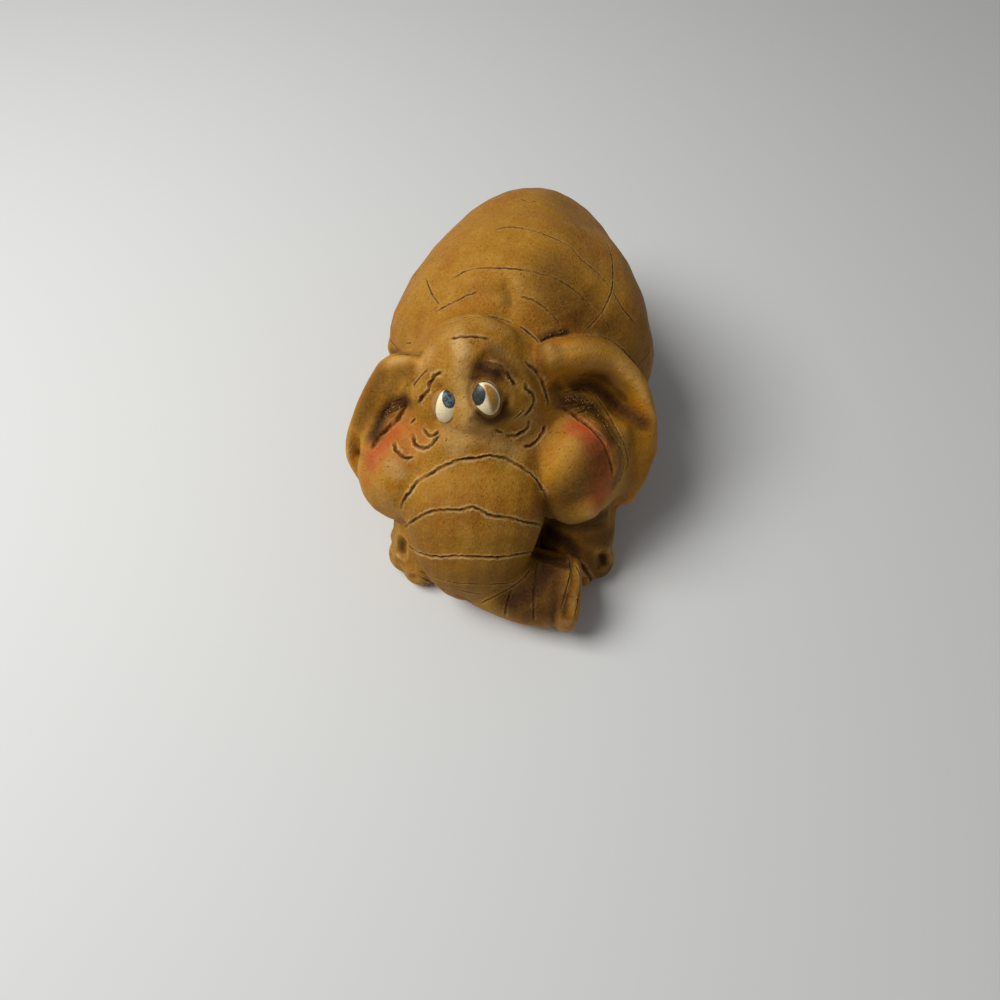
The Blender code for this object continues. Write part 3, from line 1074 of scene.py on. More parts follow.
class Effects:
    """The node groups that the materials share."""

    BROAD = Cloud(7.0 * MM, 3.0, 0.6, low=0.42, high=0.68)
    CLOUDY = Cloud(2.6 * MM, 5.0, 0.65, low=0.45, high=0.75, strength=0.45)
    FINE = Cloud(0.45 * MM, 4.0, 0.75, low=0.48, high=0.70, strength=0.5)
    SPECKS = Cloud(0.38 * MM, 3.0, 0.7, low=0.50, high=0.66, strength=0.38)
    SPECK_COLOUR = (0.12, 0.045, 0.004)
    PITTED = Cloud(0.9 * MM, 1.0, 0.5, low=0.52, high=0.66)
    PIT_SPACING = 0.55 * MM
    PIT_RADII = (0.10, 0.30)

    @staticmethod
    def group(name: str, inputs: dict[str, str], outputs: dict[str, str]) -> tuple[Tree, Sockets, Sockets]:
        """Starts a node group.

        Args:
            name: its name.
            inputs: kind of each input, by name.
            outputs: kind of each output, by name.

        Returns:
            The tree, its inputs by name and the sockets that take its outputs by name.
        """
        made = bpy.data.node_groups.new(name, "ShaderNodeTree")
        for way, sockets in (("INPUT", inputs), ("OUTPUT", outputs)):
            for label, kind in sockets.items():
                made.interface.new_socket(label, in_out=way, socket_type=f"NodeSocket{kind}")
        tree = Tree(made)
        into = tree.node("NodeGroupInput")
        out = tree.node("NodeGroupOutput")
        return tree, {k: into.outputs[k] for k in inputs}, {k: out.inputs[k] for k in outputs}

    @classmethod
    def mottle(cls) -> bpy.types.NodeTree:
        """Blotches of a glaze that was brushed on and wiped off.

        Returns:
            The node group.
        """
        tree, given, wanted = Effects.group(
            "glaze_mottle",
            {"Vector": "Vector", "Base": "Color", "Warm": "Color", "Pale": "Color"},
            {"Color": "Color"})
        color = given["Base"]
        for layer, over in ((cls.BROAD, given["Warm"]), (cls.CLOUDY, given["Pale"]),
                            (cls.FINE, given["Pale"]), (cls.SPECKS, cls.SPECK_COLOUR)):
            color = tree.mix(tree.cloud(given["Vector"], layer), color, over)
        tree.feed(wanted["Color"], color)
        return tree.tree

    @classmethod
    def pits(cls) -> bpy.types.NodeTree:
        """Small pits and grit of coarse clay.

        Returns:
            The node group.
        """
        tree, given, wanted = Effects.group(
            "clay_pits", {"Vector": "Vector"}, {"Height": "Float", "Pit": "Float"})
        cells = tree.node("ShaderNodeTexVoronoi", {"Vector": given["Vector"]})
        cells.inputs["Scale"].default_value = 1.0 / cls.PIT_SPACING
        round_pit = tree.ramp(cells.outputs["Distance"], *cls.PIT_RADII, (1.0, 0.0))
        pit = tree.maths("MULTIPLY", round_pit, tree.cloud(given["Vector"], cls.PITTED))
        grain = tree.noise(given["Vector"], 0.42 * MM, 4.0, 0.7)
        slow = tree.noise(given["Vector"], 1.6 * MM, 3.0, 0.55)
        height = tree.maths("ADD", tree.maths("MULTIPLY", grain, 0.8), tree.maths("MULTIPLY", slow, 0.7))
        height = tree.maths("SUBTRACT", height, tree.maths("MULTIPLY", pit, 0.55))
        tree.feed(wanted["Height"], height)
        tree.feed(wanted["Pit"], pit)
        return tree.tree

    @staticmethod
    def brushed() -> bpy.types.NodeTree:
        """A colour laid over another where an attribute says so, with a ragged edge.

        Returns:
            The node group.
        """
        tree, given, wanted = Effects.group(
            "brushed_colour",
            {"Vector": "Vector", "Under": "Color", "Over": "Color", "Amount": "Float", "Ragged": "Float"},
            {"Color": "Color", "Mask": "Float"})
        rough = tree.noise(given["Vector"], 0.5 * MM, 4.0, 0.65)
        shift = tree.maths("MULTIPLY", tree.maths("SUBTRACT", rough, 0.5), given["Ragged"])
        shift = tree.maths("MULTIPLY", shift, tree.ramp(given["Amount"], 0.0, 0.25))
        mask = tree.node("ShaderNodeClamp", {0: tree.maths("ADD", given["Amount"], shift)}).outputs[0]
        tree.feed(wanted["Color"], tree.mix(mask, given["Under"], given["Over"]))
        tree.feed(wanted["Mask"], mask)
        return tree.tree


class Finishes:
    """The materials, made from their finishes."""

    FLOOR_COLOUR = (0.62, 0.62, 0.60)
    PUPIL_EDGE = (0.93, 1.03)
    STREAKS = Cloud(0.5 * MM, 2.0, 0.5, low=0.35, high=0.62)
    CHIPS = Cloud(0.32 * MM, 4.0, 0.7, low=0.56, high=0.66, strength=0.4)

    def __init__(self) -> None:
        """Makes the shared node groups."""
        self.mottle = Effects.mottle()
        self.pits = Effects.pits()
        self.brushed = Effects.brushed()

    @staticmethod
    def empty(name: str) -> tuple[bpy.types.Material, Tree, bpy.types.Node]:
        """A material that holds only its Principled shader.

        Args:
            name: its name.

        Returns:
            The material, its tree and the shader.
        """
        material = bpy.data.materials.new(name)
        material.use_nodes = True
        tree = Tree(material.node_tree)
        return material, tree, material.node_tree.nodes["Principled BSDF"]

    def over(self, tree: Tree, place: bpy.types.NodeSocket, under: object, color: object,
             amount: bpy.types.NodeSocket, ragged: float) -> bpy.types.Node:
        """Lays a colour over another.

        Args:
            tree: the material's tree.
            place: the coordinates.
            under: the colour beneath.
            color: the colour on top.
            amount: where it is, from 0 to 1.
            ragged: how uneven its edge is.

        Returns:
            The group's node.
        """
        made = tree.node("ShaderNodeGroup", {"Vector": place, "Amount": amount}, node_tree=self.brushed)
        for key, value in (("Under", under), ("Over", color), ("Ragged", ragged)):
            tree.feed(made.inputs[key], value)
        return made

    def clay(self, finish: ClayFinish) -> bpy.types.Material:
        """Stained clay, with the paint that its points carry.

        Args:
            finish: the colours and the grain.

        Returns:
            The material.
        """
        material, tree, shader = self.empty(finish.name)
        place = tree.place()
        mottle = tree.node("ShaderNodeGroup", {"Vector": place}, node_tree=self.mottle)
        for key, value in (("Base", finish.base), ("Warm", finish.warm), ("Pale", finish.pale)):
            tree.feed(mottle.inputs[key], value)
        pits = tree.node("ShaderNodeGroup", {"Vector": place}, node_tree=self.pits)
        color = mottle.outputs["Color"]
        rosy = tree.carried(Mark.BLUSH.value)
        color = self.over(tree, place, color, finish.blush, rosy, ragged=0.5).outputs["Color"]
        # The worn attribute holds real wear and painted highlights.
        worn = tree.maths("MULTIPLY", tree.carried(Mark.WORN_AND_HIGHLIGHT.value), 0.9)
        color = self.over(tree, place, color, finish.worn, worn, ragged=0.9).outputs["Color"]
        pitted = tree.maths("MULTIPLY", pits.outputs["Pit"], 0.4)
        # The stain attribute holds real stain and painted shade; both darken the colour here.
        stained = tree.maths("MAXIMUM", tree.carried(Mark.STAIN_AND_SHADE.value), pitted)
        washed = self.over(tree, place, color, finish.stain_and_shade, stained, ragged=0.45)
        rough = tree.ramp(washed.outputs["Mask"], 0.0, 1.0, (finish.roughness, finish.roughness + 0.2))
        tree.feed(shader.inputs["Base Color"], washed.outputs["Color"])
        tree.feed(shader.inputs["Roughness"], rough)
        tree.feed(shader.inputs["Specular IOR Level"], finish.shine)
        tree.feed(shader.inputs["Normal"], tree.bump(pits.outputs["Height"], finish.pit_depth))
        return material

    def eye(self, finish: EyeFinish) -> bpy.types.Material:
        """A cream eye with a painted pupil.

        Args:
            finish: the colours.

        Returns:
            The material.
        """
        material, tree, shader = self.empty(finish.name)
        place = tree.place()
        rough = tree.maths("MULTIPLY", tree.maths("SUBTRACT", tree.noise(place, 0.6 * MM, 3.0), 0.5), 0.22)
        edge = tree.maths("ADD", tree.carried("pupil"), rough)
        shaded = self.over(tree, place, finish.white, finish.ochre, tree.carried("ochre"), ragged=0.7)
        streaks = tree.maths("MULTIPLY", tree.carried("shine"), tree.cloud(place, self.STREAKS))
        pupil = tree.mix(streaks, finish.dark, finish.slate)
        color = tree.mix(tree.ramp(edge, *self.PUPIL_EDGE, (1.0, 0.0)), shaded.outputs["Color"], pupil)
        color = tree.mix(tree.carried("rim"), color, finish.clay)
        color = tree.mix(tree.cloud(place, self.CHIPS), color, finish.chipped)
        outline = tree.carried(Mark.STAIN_AND_SHADE.value)
        color = self.over(tree, place, color, finish.grime, outline, ragged=0.6).outputs["Color"]
        tree.feed(shader.inputs["Base Color"], color)
        tree.feed(shader.inputs["Roughness"], finish.roughness)
        tree.feed(shader.inputs["Normal"], tree.bump(tree.noise(place, 0.3 * MM, 3.0), finish.bump))
        return material

    def floor(self) -> bpy.types.Material:
        """Plain pale floor.

        Returns:
            The material.
        """
        material, tree, shader = self.empty("pale_floor")
        tree.feed(shader.inputs["Base Color"], self.FLOOR_COLOUR)
        tree.feed(shader.inputs["Roughness"], 0.9)
        return material


@dataclass
class Lump:
    """A part of the figurine that is worked with the fingers and the tool."""

    nodes: tuple[str, ...] = ()
    slot: str = "ochre_clay"
    finish: ClayFinish = field(default_factory=lambda: ClayFinish("ochre_clay"))

    def joints(self) -> list[Joint]:
        """Seams that are smoothed away."""
        return []

    def fills(self) -> list[Fill]:
        """Clay that is pressed in."""
        return []

    def rubs(self) -> list[Rub]:
        """Places that the fingers smoothed over."""
        return []

    def forms(self) -> list[Stroke]:
        """Swellings and hollows."""
        return []

    def grooves(self) -> list[Stroke]:
        """Lines of the tool."""
        return []

    def brushwork(self) -> list[Stroke]:
        """Paint."""
        return []

    def build(self, skin: "Parting", finishes: Finishes) -> list[bpy.types.Object]:
        """Takes this part's pieces out of the skin and dresses them.

        Args:
            skin: the finished skin, parted into nodes.
            finishes: the materials.

        Returns:
            The pieces.
        """
        material = finishes.clay(self.finish)
        made = [skin.piece(node) for node in self.nodes]
        for node, piece in zip(self.nodes, made):
            piece.data.materials.append(material)
            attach(piece, "root")
            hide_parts(node)
            LOG.info("%s: %d triangles", piece.name, len(piece.data.polygons))
        return made


@dataclass
class Torso(Lump):
    """Body, chest and tail."""

    nodes: tuple[str, ...] = ("body", "chest", "tail", "tail_tuft")
    line: float = 0.12
    line_depth: float = 0.09

    def joints(self) -> list[Joint]:
        """Seams that are smoothed away."""
        return [Joint("body", "chest", 1.6, 24), Joint("body", "tail", 1.2, 16),
                Joint("head", "body", 3.6, 160)]

    def grooves(self) -> list[Stroke]:
        """Wrinkles of the back, neck and flanks.

        Returns:
            The lines that the photograph shows, and then the hidden ones.
        """
        seen = (
            ((495, 229), (512, 227), (534, 231), (554, 238), (571, 247), (580, 258), (598, 273), (609, 286)),
            ((452, 279), (466, 271), (481, 268), (496, 268), (515, 269), (534, 272), (554, 278), (569, 286),
             (580, 295), (592, 308), (598, 314)),
            ((435, 312), (450, 304), (464, 297), (477, 292)),
            ((521, 297), (534, 301), (546, 309), (556, 319), (562, 331)),
            ((426, 279), (431, 292), (439, 304)),
            ((606, 241), (611, 254), (613, 269), (612, 289), (606, 306), (598, 318), (587, 330)),
            ((613, 292), (622, 307), (636, 325)),
            ((607, 323), (611, 329)),
            ((650, 351), (644, 359), (639, 364)),
            ((390, 340), (399, 351)),
            ((406, 344), (411, 343)),
            ((521, 199), (529, 202), (536, 201)),
        )
        hidden = (
            ((-20, 12, 32), (-22.5, 14, 26), (-23, 18, 20), (-21, 23, 15)),
            ((-22, 6, 26), (-24, 8, 20), (-24, 12, 15)),
            ((-17, 27, 33), (-20, 27, 28), (-20, 29, 23)),
            ((22, 7, 27), (24, 10, 20), (23, 15, 15), (21, 20, 12)),
            ((21, 16, 30), (23, 19, 24), (22, 24, 19)),
            ((-13, 30, 36), (-6, 34, 35), (4, 34, 35), (12, 30, 36)),
            ((-11, 36, 27), (-6, 38, 26), (-3, 38, 23)),
            ((5, 38, 24), (9, 37, 26), (13, 35, 26)),
            ((-15, 34, 20), (-9, 37, 17), (-6, 37, 14)),
            ((8, 37, 16), (13, 35, 18), (16, 32, 21)),
        )
        return (grooves_along(seen, self.line, self.line_depth)
                + [Stroke(Mark.GROOVE, (), self.line, self.line_depth, path) for path in hidden])

    def forms(self) -> list[Stroke]:
        """The dip behind the neck fold, and the slightly uneven round of the back."""
        return [
            form((503, 292), (507, 303), (506, 318), width=2.6, height=-0.4),
            form((490, 201), (520, 193), (548, 194), width=8.0, height=0.4),
            form((572, 207), (588, 220), width=6.0, height=-0.4),
            form((618, 258), (634, 290), width=8.0, height=0.55),
            form((402, 300), (396, 324), width=7.0, height=-0.5),
            form((452, 296), (470, 284), width=3.0, height=0.25),
            form((600, 300), (590, 318), width=3.0, height=-0.3),
            form((444, 338), (458, 326), (484, 324), (508, 332), width=2.2, height=0.3),
            form((506, 286), (508, 300), width=1.6, height=-0.3),
            form((389, 344), (392, 352), width=2.4, height=0.5),
        ]

    def brushwork(self) -> list[Stroke]:
        """Painted shade on the side that looks away from the light and beside the neck, and a painted shadow
        in the crease where the body meets the top of the right ear.
        """
        return [
            stain_and_shade((562, 200), (574, 226), (584, 256), width=7.0, strength=0.22),
            stain_and_shade((628, 262), (644, 300), (648, 350), width=8.0, strength=0.3),
            stain_and_shade((560, 312), (572, 328), (590, 334), width=3.0, strength=0.4),
            stain_and_shade((556, 274), (566, 300), (578, 322), (598, 330), width=7.0, strength=0.6),
            stain_and_shade((392, 352), (410, 354), (420, 355), width=1.2, strength=0.6),
        ]


@dataclass
class Head(Lump):
    """The head with its nose bridge, brows and wrinkles."""

    nodes: tuple[str, ...] = ("head",)
    line: float = 0.16
    line_depth: float = 0.17

    def joints(self) -> list[Joint]:
        """Seams that are smoothed away."""
        return [Joint("head", "trunk", 3.6, 160), Joint("head", "cheek_left", 3.6, 200),
                Joint("head", "cheek_right", 3.6, 160), Joint("trunk", "cheek_left", 1.6, 40),
                Joint("trunk", "cheek_right", 1.6, 40)]

    def forms(self) -> list[Stroke]:
        """The nose bridge, the sockets, the brows, and the edges of the cheeks."""
        return [
            form((460, 338), (460, 350), (460, 362), width=2.8, height=0.6),
            form((462, 362), (463, 385), (464, 400), (467, 416), width=2.2, height=0.3),
            form((472, 416), (464, 430), (454, 446), width=4.6, height=0.7),
            form((474, 416), (482, 432), (486, 448), width=4.4, height=1.0),
            form((448, 428), (438, 444), width=3.0, height=0.4),
            form((430, 450), (452, 446), (476, 444), (500, 446), (522, 452), width=3.6, height=0.8),
            form((564, 513), (573, 515), (587, 510), width=3.6, height=1.4),
            form((366, 471), (368, 486), (374, 500), (384, 511), width=3.2, height=-0.6),
            form((488, 358), (482, 369), (480, 378), width=1.6, height=-0.5),
            form((477, 414), (488, 421), (501, 415), (507, 400), width=1.1, height=-0.6),
            form((441, 386), (436, 402), (437, 420), width=0.8, height=-0.25),
            form((497, 350), (518, 366), (530, 388), width=2.0, height=0.35),
            form((430, 366), (423, 384), (415, 398), width=1.4, height=0.35),
            form((515, 437), (530, 430), width=1.0, height=0.25),
        ]

    def grooves(self) -> list[Stroke]:
        """Wrinkles around the eyes and on the forehead.

        Returns:
            The fine lines, and then the broad ones.
        """
        fine = (
            ((441, 334), (450, 324), (466, 317), (483, 316), (498, 318), (512, 323)),
            ((450, 339), (462, 337), (475, 337), (489, 339)),
            ((521, 327), (533, 336), (539, 343)),
            ((427, 370), (421, 376), (416, 382), (414, 387)),
            ((415, 419), (411, 423)),
            ((514, 419), (519, 415), (524, 410)),
            ((496, 430), (503, 433)),
        )
        broad = (
            ((442, 372), (437, 374), (433, 379), (430, 385), (428, 391), (422, 398), (419, 403)),
            ((424, 429), (426, 433), (429, 436), (434, 435), (438, 432)),
            ((412, 435), (415, 443), (420, 447), (426, 448), (431, 445), (435, 440), (439, 436)),
            ((394, 443), (396, 450), (401, 455), (407, 458), (413, 457)),
            ((487, 363), (494, 365), (501, 368), (507, 373), (511, 378), (515, 385)),
            ((540, 342), (548, 338), (556, 336), (567, 335)),
            ((526, 362), (529, 365), (536, 371), (541, 378), (544, 387), (547, 397), (549, 405)),
            ((526, 385), (527, 389), (533, 395), (534, 401), (532, 407), (529, 412), (524, 416)),
            ((529, 421), (528, 427), (523, 432), (515, 436), (507, 436)),
            ((545, 427), (541, 436), (535, 442), (530, 446), (525, 446)),
        )
        return (grooves_along(fine, self.line, self.line_depth)
                + grooves_along(broad, 1.5 * self.line, 1.5 * self.line_depth))

    def brushwork(self) -> list[Stroke]:
        """Painted shade in the socket around the left eye, on the right side of the nose bridge and forehead
        and around the top of the left ear, and painted highlights on the forehead, the nose and below the
        eyes.
        """
        return [
            stain_and_shade((477, 412), (488, 420), (500, 415), (505, 403), width=0.9, strength=0.95),
            stain_and_shade((482, 418), (494, 421), (508, 414), width=1.7, strength=0.8),
            stain_and_shade((472, 378), (484, 376), (496, 380), width=0.8, strength=0.8),
            stain_and_shade((487, 352), (481, 364), (475, 378), width=1.7, strength=0.5),
            stain_and_shade((482, 368), (498, 374), width=2.4, strength=1.0),
            stain_and_shade((470, 382), (468, 394), (472, 408), width=0.5, strength=0.5),
            stain_and_shade((542, 339), (553, 335), (566, 332), width=1.5, strength=1.0),
            stain_and_shade((539, 347), (540, 358), (540, 371), width=2.6, strength=0.65),
            stain_and_shade((493, 349), (496, 358), (501, 368), (512, 374), width=2.2, strength=0.65),
            painted_highlight((450, 431), (466, 433), (482, 432), width=3.4, strength=0.4),
            painted_highlight((498, 444), (514, 447), width=3.0, strength=0.35),
            painted_highlight((528, 417), (535, 429), (528, 441), width=3.2, strength=0.3),
            stain_and_shade((552, 340), (556, 352), (553, 366), width=2.4, strength=0.3),
            painted_highlight((458, 341), (462, 352), width=2.2, strength=0.8),
            painted_highlight((463, 372), (465, 400), (472, 420), (456, 446), width=2.8, strength=0.45),
            painted_highlight((472, 412), (477, 424), width=1.6, strength=0.5),
            painted_highlight((430, 352), (420, 366), width=2.0, strength=0.35),
        ]


@dataclass
class Cheeks(Lump):
    """The puffed cheeks."""

    nodes: tuple[str, ...] = ("cheek_right", "cheek_left")
    slot: str = "rose_blush"
    finish: ClayFinish = field(default_factory=lambda: ClayFinish(
        "rose_blush", base=(0.420, 0.190, 0.012), warm=(0.380, 0.145, 0.008), roughness=0.46))

    def fills(self) -> list[Fill]:
        """Clay pressed in where a cheek meets the trunk."""
        return [Fill(((549, 507), (550, 515)), 1.3, 0.7)]

    def brushwork(self) -> list[Stroke]:
        """The rosy blush, painted shade over the lower side of the left cheek, and a painted highlight low on
        the right cheek.
        """
        return [
            blush((394, 431), (382, 446), (370, 462), width=3.2, strength=0.8),
            blush((404, 422), (410, 440), (398, 456), width=4.4, strength=0.42),
            blush((366, 468), (366, 482), width=2.6, strength=0.35),
            blush((578, 427), (588, 432), (598, 441), width=3.2, strength=1.0),
            blush((600, 448), (604, 470), (600, 496), width=3.8, strength=0.75),
            stain_and_shade((598, 458), (586, 478), (570, 496), (557, 510), width=5.6, strength=0.8),
            painted_highlight((392, 466), (398, 472), width=2.2, strength=0.5),
        ]


@dataclass
class Ears(Lump):
    """The cupped ears."""

    nodes: tuple[str, ...] = ("ear_right", "ear_left")
    finish: ClayFinish = field(default_factory=lambda: ClayFinish(
        "ear_clay", base=(0.500, 0.215, 0.010), warm=(0.480, 0.175, 0.006)))
    line: float = 0.2
    line_depth: float = 0.2

    def joints(self) -> list[Joint]:
        """Seams that are smoothed away."""
        return [Joint("ear_right", "head", 2.4, 50), Joint("ear_left", "head", 2.4, 50),
                Joint("ear_right", "body", 1.4, 16), Joint("ear_left", "body", 1.4, 16)]

    def fills(self) -> list[Fill]:
        """Clay that fills the cups between ear and cheek."""
        return [
            Fill(((562, 400), (575, 397), (588, 401), (600, 411), (609, 424)), 2.4, 3.2),
            Fill(((565, 412), (571, 413)), 1.5, 4.2),
            Fill(((567, 409), (577, 410), (587, 412), (595, 415)), 1.7, 3.2),
            Fill(((590, 409), (598, 416)), 1.8, 1.4),
            Fill(((568, 418), (578, 422), (588, 429), (596, 438), (603, 449)), 2.8, -1.0),
            Fill(((617, 434), (624, 446), (627, 462), (626, 478), (621, 492)), 2.6, 3.6),
            Fill(((632, 424), (637, 444), (637, 462), (632, 478), (624, 492)), 2.4, 2.0),
            Fill(((562, 388), (578, 384), (596, 390), (614, 406), (624, 418)), 2.4, 1.6),
            Fill(((382, 388), (374, 402), (368, 418), (363, 436)), 2.4, 1.7),
            Fill(((404, 390), (397, 398), (390, 408)), 2.2, 2.4),
            Fill(((402, 420), (394, 428), (386, 434), (380, 441), (374, 449)), 2.2, -1.0),
            Fill(((398, 402), (390, 409), (383, 419), (377, 428), (370, 439)), 2.2, 3.0),
            Fill(((400, 382), (390, 392)), 1.8, 1.2),
        ]

    def rubs(self) -> list[Rub]:
        """The cups, where the pressed-in clay runs out."""
        return [
            Rub(((630, 424), (634, 444), (633, 462), (628, 478), (619, 494)), 4.4, 120),
            Rub(((616, 436), (622, 448), (625, 464), (622, 482)), 2.6, 60),
            Rub(((558, 404), (566, 407), (578, 412), (592, 421)), 2.4, 90),
            Rub(((404, 396), (396, 406), (388, 414), (380, 425), (373, 437)), 3.2, 110),
            Rub(((380, 388), (373, 402), (367, 420), (362, 438)), 4.2, 120),
        ]

    def forms(self) -> list[Stroke]:
        """The folds inside the cups."""
        return [
            form((584, 382), (600, 391), (614, 403), width=1.8, height=-0.2),
            form((616, 404), (630, 414), (643, 422), width=2.6, height=-0.3),
            form((634, 497), (627, 503), (619, 506), width=3.6, height=-1.0),
            form((388, 377), (400, 372), (412, 369), width=1.8, height=-0.45),
            form((566, 398), (584, 400), (600, 414), width=2.0, height=0.3),
            form((394, 366), (396, 378), (397, 388), width=1.4, height=-0.5),
        ]

    def grooves(self) -> list[Stroke]:
        """Creases between ear and cheek, lines of the ears and hatching in their cups.

        Returns:
            The creases, and then the finer lines and the hatching.
        """
        crease = (
            ((558, 409), (567, 411), (577, 417), (588, 425), (597, 433), (604, 443), (609, 455), (612, 466),
             (613, 478)),
            ((371, 449), (381, 435), (390, 426), (397, 420), (407, 404)),
        )
        lines = (
            ((593, 393), (603, 406), (614, 424), (624, 444), (628, 462), (625, 471)),
            ((603, 421), (612, 436), (621, 450), (624, 462), (621, 477), (617, 483)),
            ((564, 393), (578, 389), (589, 392), (595, 399)),
            ((390, 355), (404, 354), (420, 356)),
            ((568, 337), (585, 336), (602, 337), (615, 343), (632, 360), (645, 380)),
        )
        hatches = (
            ((566, 401), (577, 397)), ((563, 405), (580, 402)), ((570, 409), (586, 404)),
            ((578, 413), (590, 409)), ((584, 396), (592, 406), (598, 418)), ((588, 420), (598, 424)),
            ((574, 394), (584, 400)), ((592, 404), (602, 418), (608, 428)), ((598, 432), (606, 440)),
            ((404, 399), (396, 402), (388, 408)), ((398, 403), (390, 408), (384, 412)),
            ((403, 407), (396, 411), (390, 415)),
        )
        return (grooves_along(crease, 1.5 * self.line, 2.0 * self.line_depth, lip=0.25)
                + grooves_along(lines, 0.8 * self.line, 0.7 * self.line_depth, lip=0.7)
                + grooves_along(hatches, 0.8 * self.line, 0.6 * self.line_depth))

    def brushwork(self) -> list[Stroke]:
        """Dark wash in the hollows, partly glaze pooled there and partly painted shade, and painted
        highlights on the tops of the ears.
        """
        return [
            stain_and_shade((575, 388), (590, 386), (604, 394), (616, 405), width=2.4, strength=0.95),
            stain_and_shade((612, 404), (628, 414), (643, 424), width=2.8, strength=0.9),
            painted_highlight((590, 364), (606, 371), (618, 384), width=2.6, strength=0.35),
            stain_and_shade((554, 384), (560, 396), (560, 404), width=2.0, strength=0.6),
            stain_and_shade((562, 401), (582, 404), (600, 418), (612, 438), width=3.0, strength=0.92),
            stain_and_shade((612, 438), (619, 452), (620, 468), (615, 484), width=1.8, strength=0.55),
            stain_and_shade((642, 436), (642, 466), (630, 488), width=4.6, strength=0.32),
            stain_and_shade((380, 376), (369, 398), (361, 422), width=4.0, strength=0.72),
            stain_and_shade((361, 422), (355, 440), width=3.4, strength=0.4),
            stain_and_shade((408, 372), (396, 377), (387, 392), width=3.0, strength=0.65),
            stain_and_shade((628, 352), (646, 376), (653, 404), width=1.8, strength=0.25),
            painted_highlight((560, 352), (580, 348), (596, 350), width=2.2, strength=0.25),
            painted_highlight((390, 361), (404, 359), width=1.4, strength=0.6),
            stain_and_shade((405, 400), (390, 406), (381, 418), (374, 436), width=2.3, strength=0.95),
            crumbs((566, 399), (584, 400), (600, 414), width=1.6, strength=0.6),
            crumbs((398, 404), (386, 416), width=1.2, strength=0.8),
        ]


@dataclass
class Trunk(Lump):
    """The fat trunk, curled on the ground."""

    nodes: tuple[str, ...] = ("trunk", "trunk_tip", "trunk_lip")
    line: float = 0.2
    line_depth: float = 0.24

    def joints(self) -> list[Joint]:
        """Seams that are smoothed away."""
        return [Joint("trunk", "trunk_tip", 1.2, 14), Joint("trunk_tip", "trunk_lip", 0.6, 6)]

    def grooves(self) -> list[Stroke]:
        """Rings of the trunk.

        Returns:
            The deep rings, and then the shallow ones.
        """
        deep = (
            ((401, 509), (404, 500), (411, 491), (418, 481), (432, 473), (444, 466), (459, 460), (477, 458),
             (490, 456), (506, 459), (518, 465), (530, 473), (539, 483), (547, 498)),
            ((405, 527), (416, 519), (430, 512), (446, 510), (461, 510), (473, 507), (482, 511), (492, 516),
             (508, 518), (525, 522), (544, 525)),
            ((409, 547), (422, 554), (439, 557), (460, 556), (477, 557), (501, 557), (521, 554), (537, 551)),
            ((511, 591), (508, 602), (505, 616)),
            ((538, 559), (536, 578), (534, 595), (534, 621)),
        )
        shallow = (
            ((420, 571), (435, 578), (456, 583), (477, 584), (497, 584), (513, 582), (521, 578)),
            ((418, 576), (439, 585), (459, 590), (480, 594), (494, 593)),
            ((425, 583), (444, 591), (463, 598), (473, 602)),
            ((568, 554), (571, 571), (566, 591), (561, 609)),
            ((575, 564), (581, 578), (579, 595), (575, 617)),
            ((537, 556), (530, 571), (518, 583), (500, 594), (480, 604)),
        )
        return (grooves_along(deep, self.line, self.line_depth)
                + grooves_along(shallow, 0.7 * self.line, 0.5 * self.line_depth))

    def brushwork(self) -> list[Stroke]:
        """Painted shade over the trunk's middle and lower rings, under the chin and on the tip that lies in
        the shadow of the head, and a darker nostril.
        """
        return [
            stain_and_shade((548, 530), (556, 536), (568, 542), (574, 552), width=3.6, strength=1.0),
            stain_and_shade((538, 556), (550, 559), (564, 560), width=2.8, strength=1.0),
            stain_and_shade((543, 561), (555, 564), (567, 566), width=2.2, strength=1.0),
            stain_and_shade((552, 522), (570, 526), (592, 522), (606, 514), width=2.4, strength=0.8),
            stain_and_shade((420, 536), (470, 536), (530, 540), width=9.0, strength=0.26),
            stain_and_shade((430, 575), (480, 578), (530, 572), (540, 596), width=8.0, strength=0.3),
            stain_and_shade((546, 572), (534, 590), (512, 602), width=5.4, strength=1.0),
            stain_and_shade((552, 576), (552, 606), (530, 612), width=5.4, strength=0.85),
            stain_and_shade((572, 570), (572, 596), width=2.6, strength=0.5),
            stain_and_shade((567, 603), (567, 618), width=1.3, strength=0.6),
        ]

    def forms(self) -> list[Stroke]:
        """The fold at the tip, the nostril and the rolls between the rings."""
        return [
            form((568, 600), (567, 616), width=1.3, height=-0.9),
            form((568, 556), (569, 575), (563, 594), width=0.9, height=0.45),
            form((577, 566), (579, 580), (576, 596), width=1.1, height=0.4),
            form((573, 562), (573, 580), width=0.5, height=-0.4),
            form((537, 574), (525, 588), (508, 600), width=2.2, height=-0.5),
            form((527, 565), (512, 579), (494, 590), width=2.2, height=0.3),
        ]


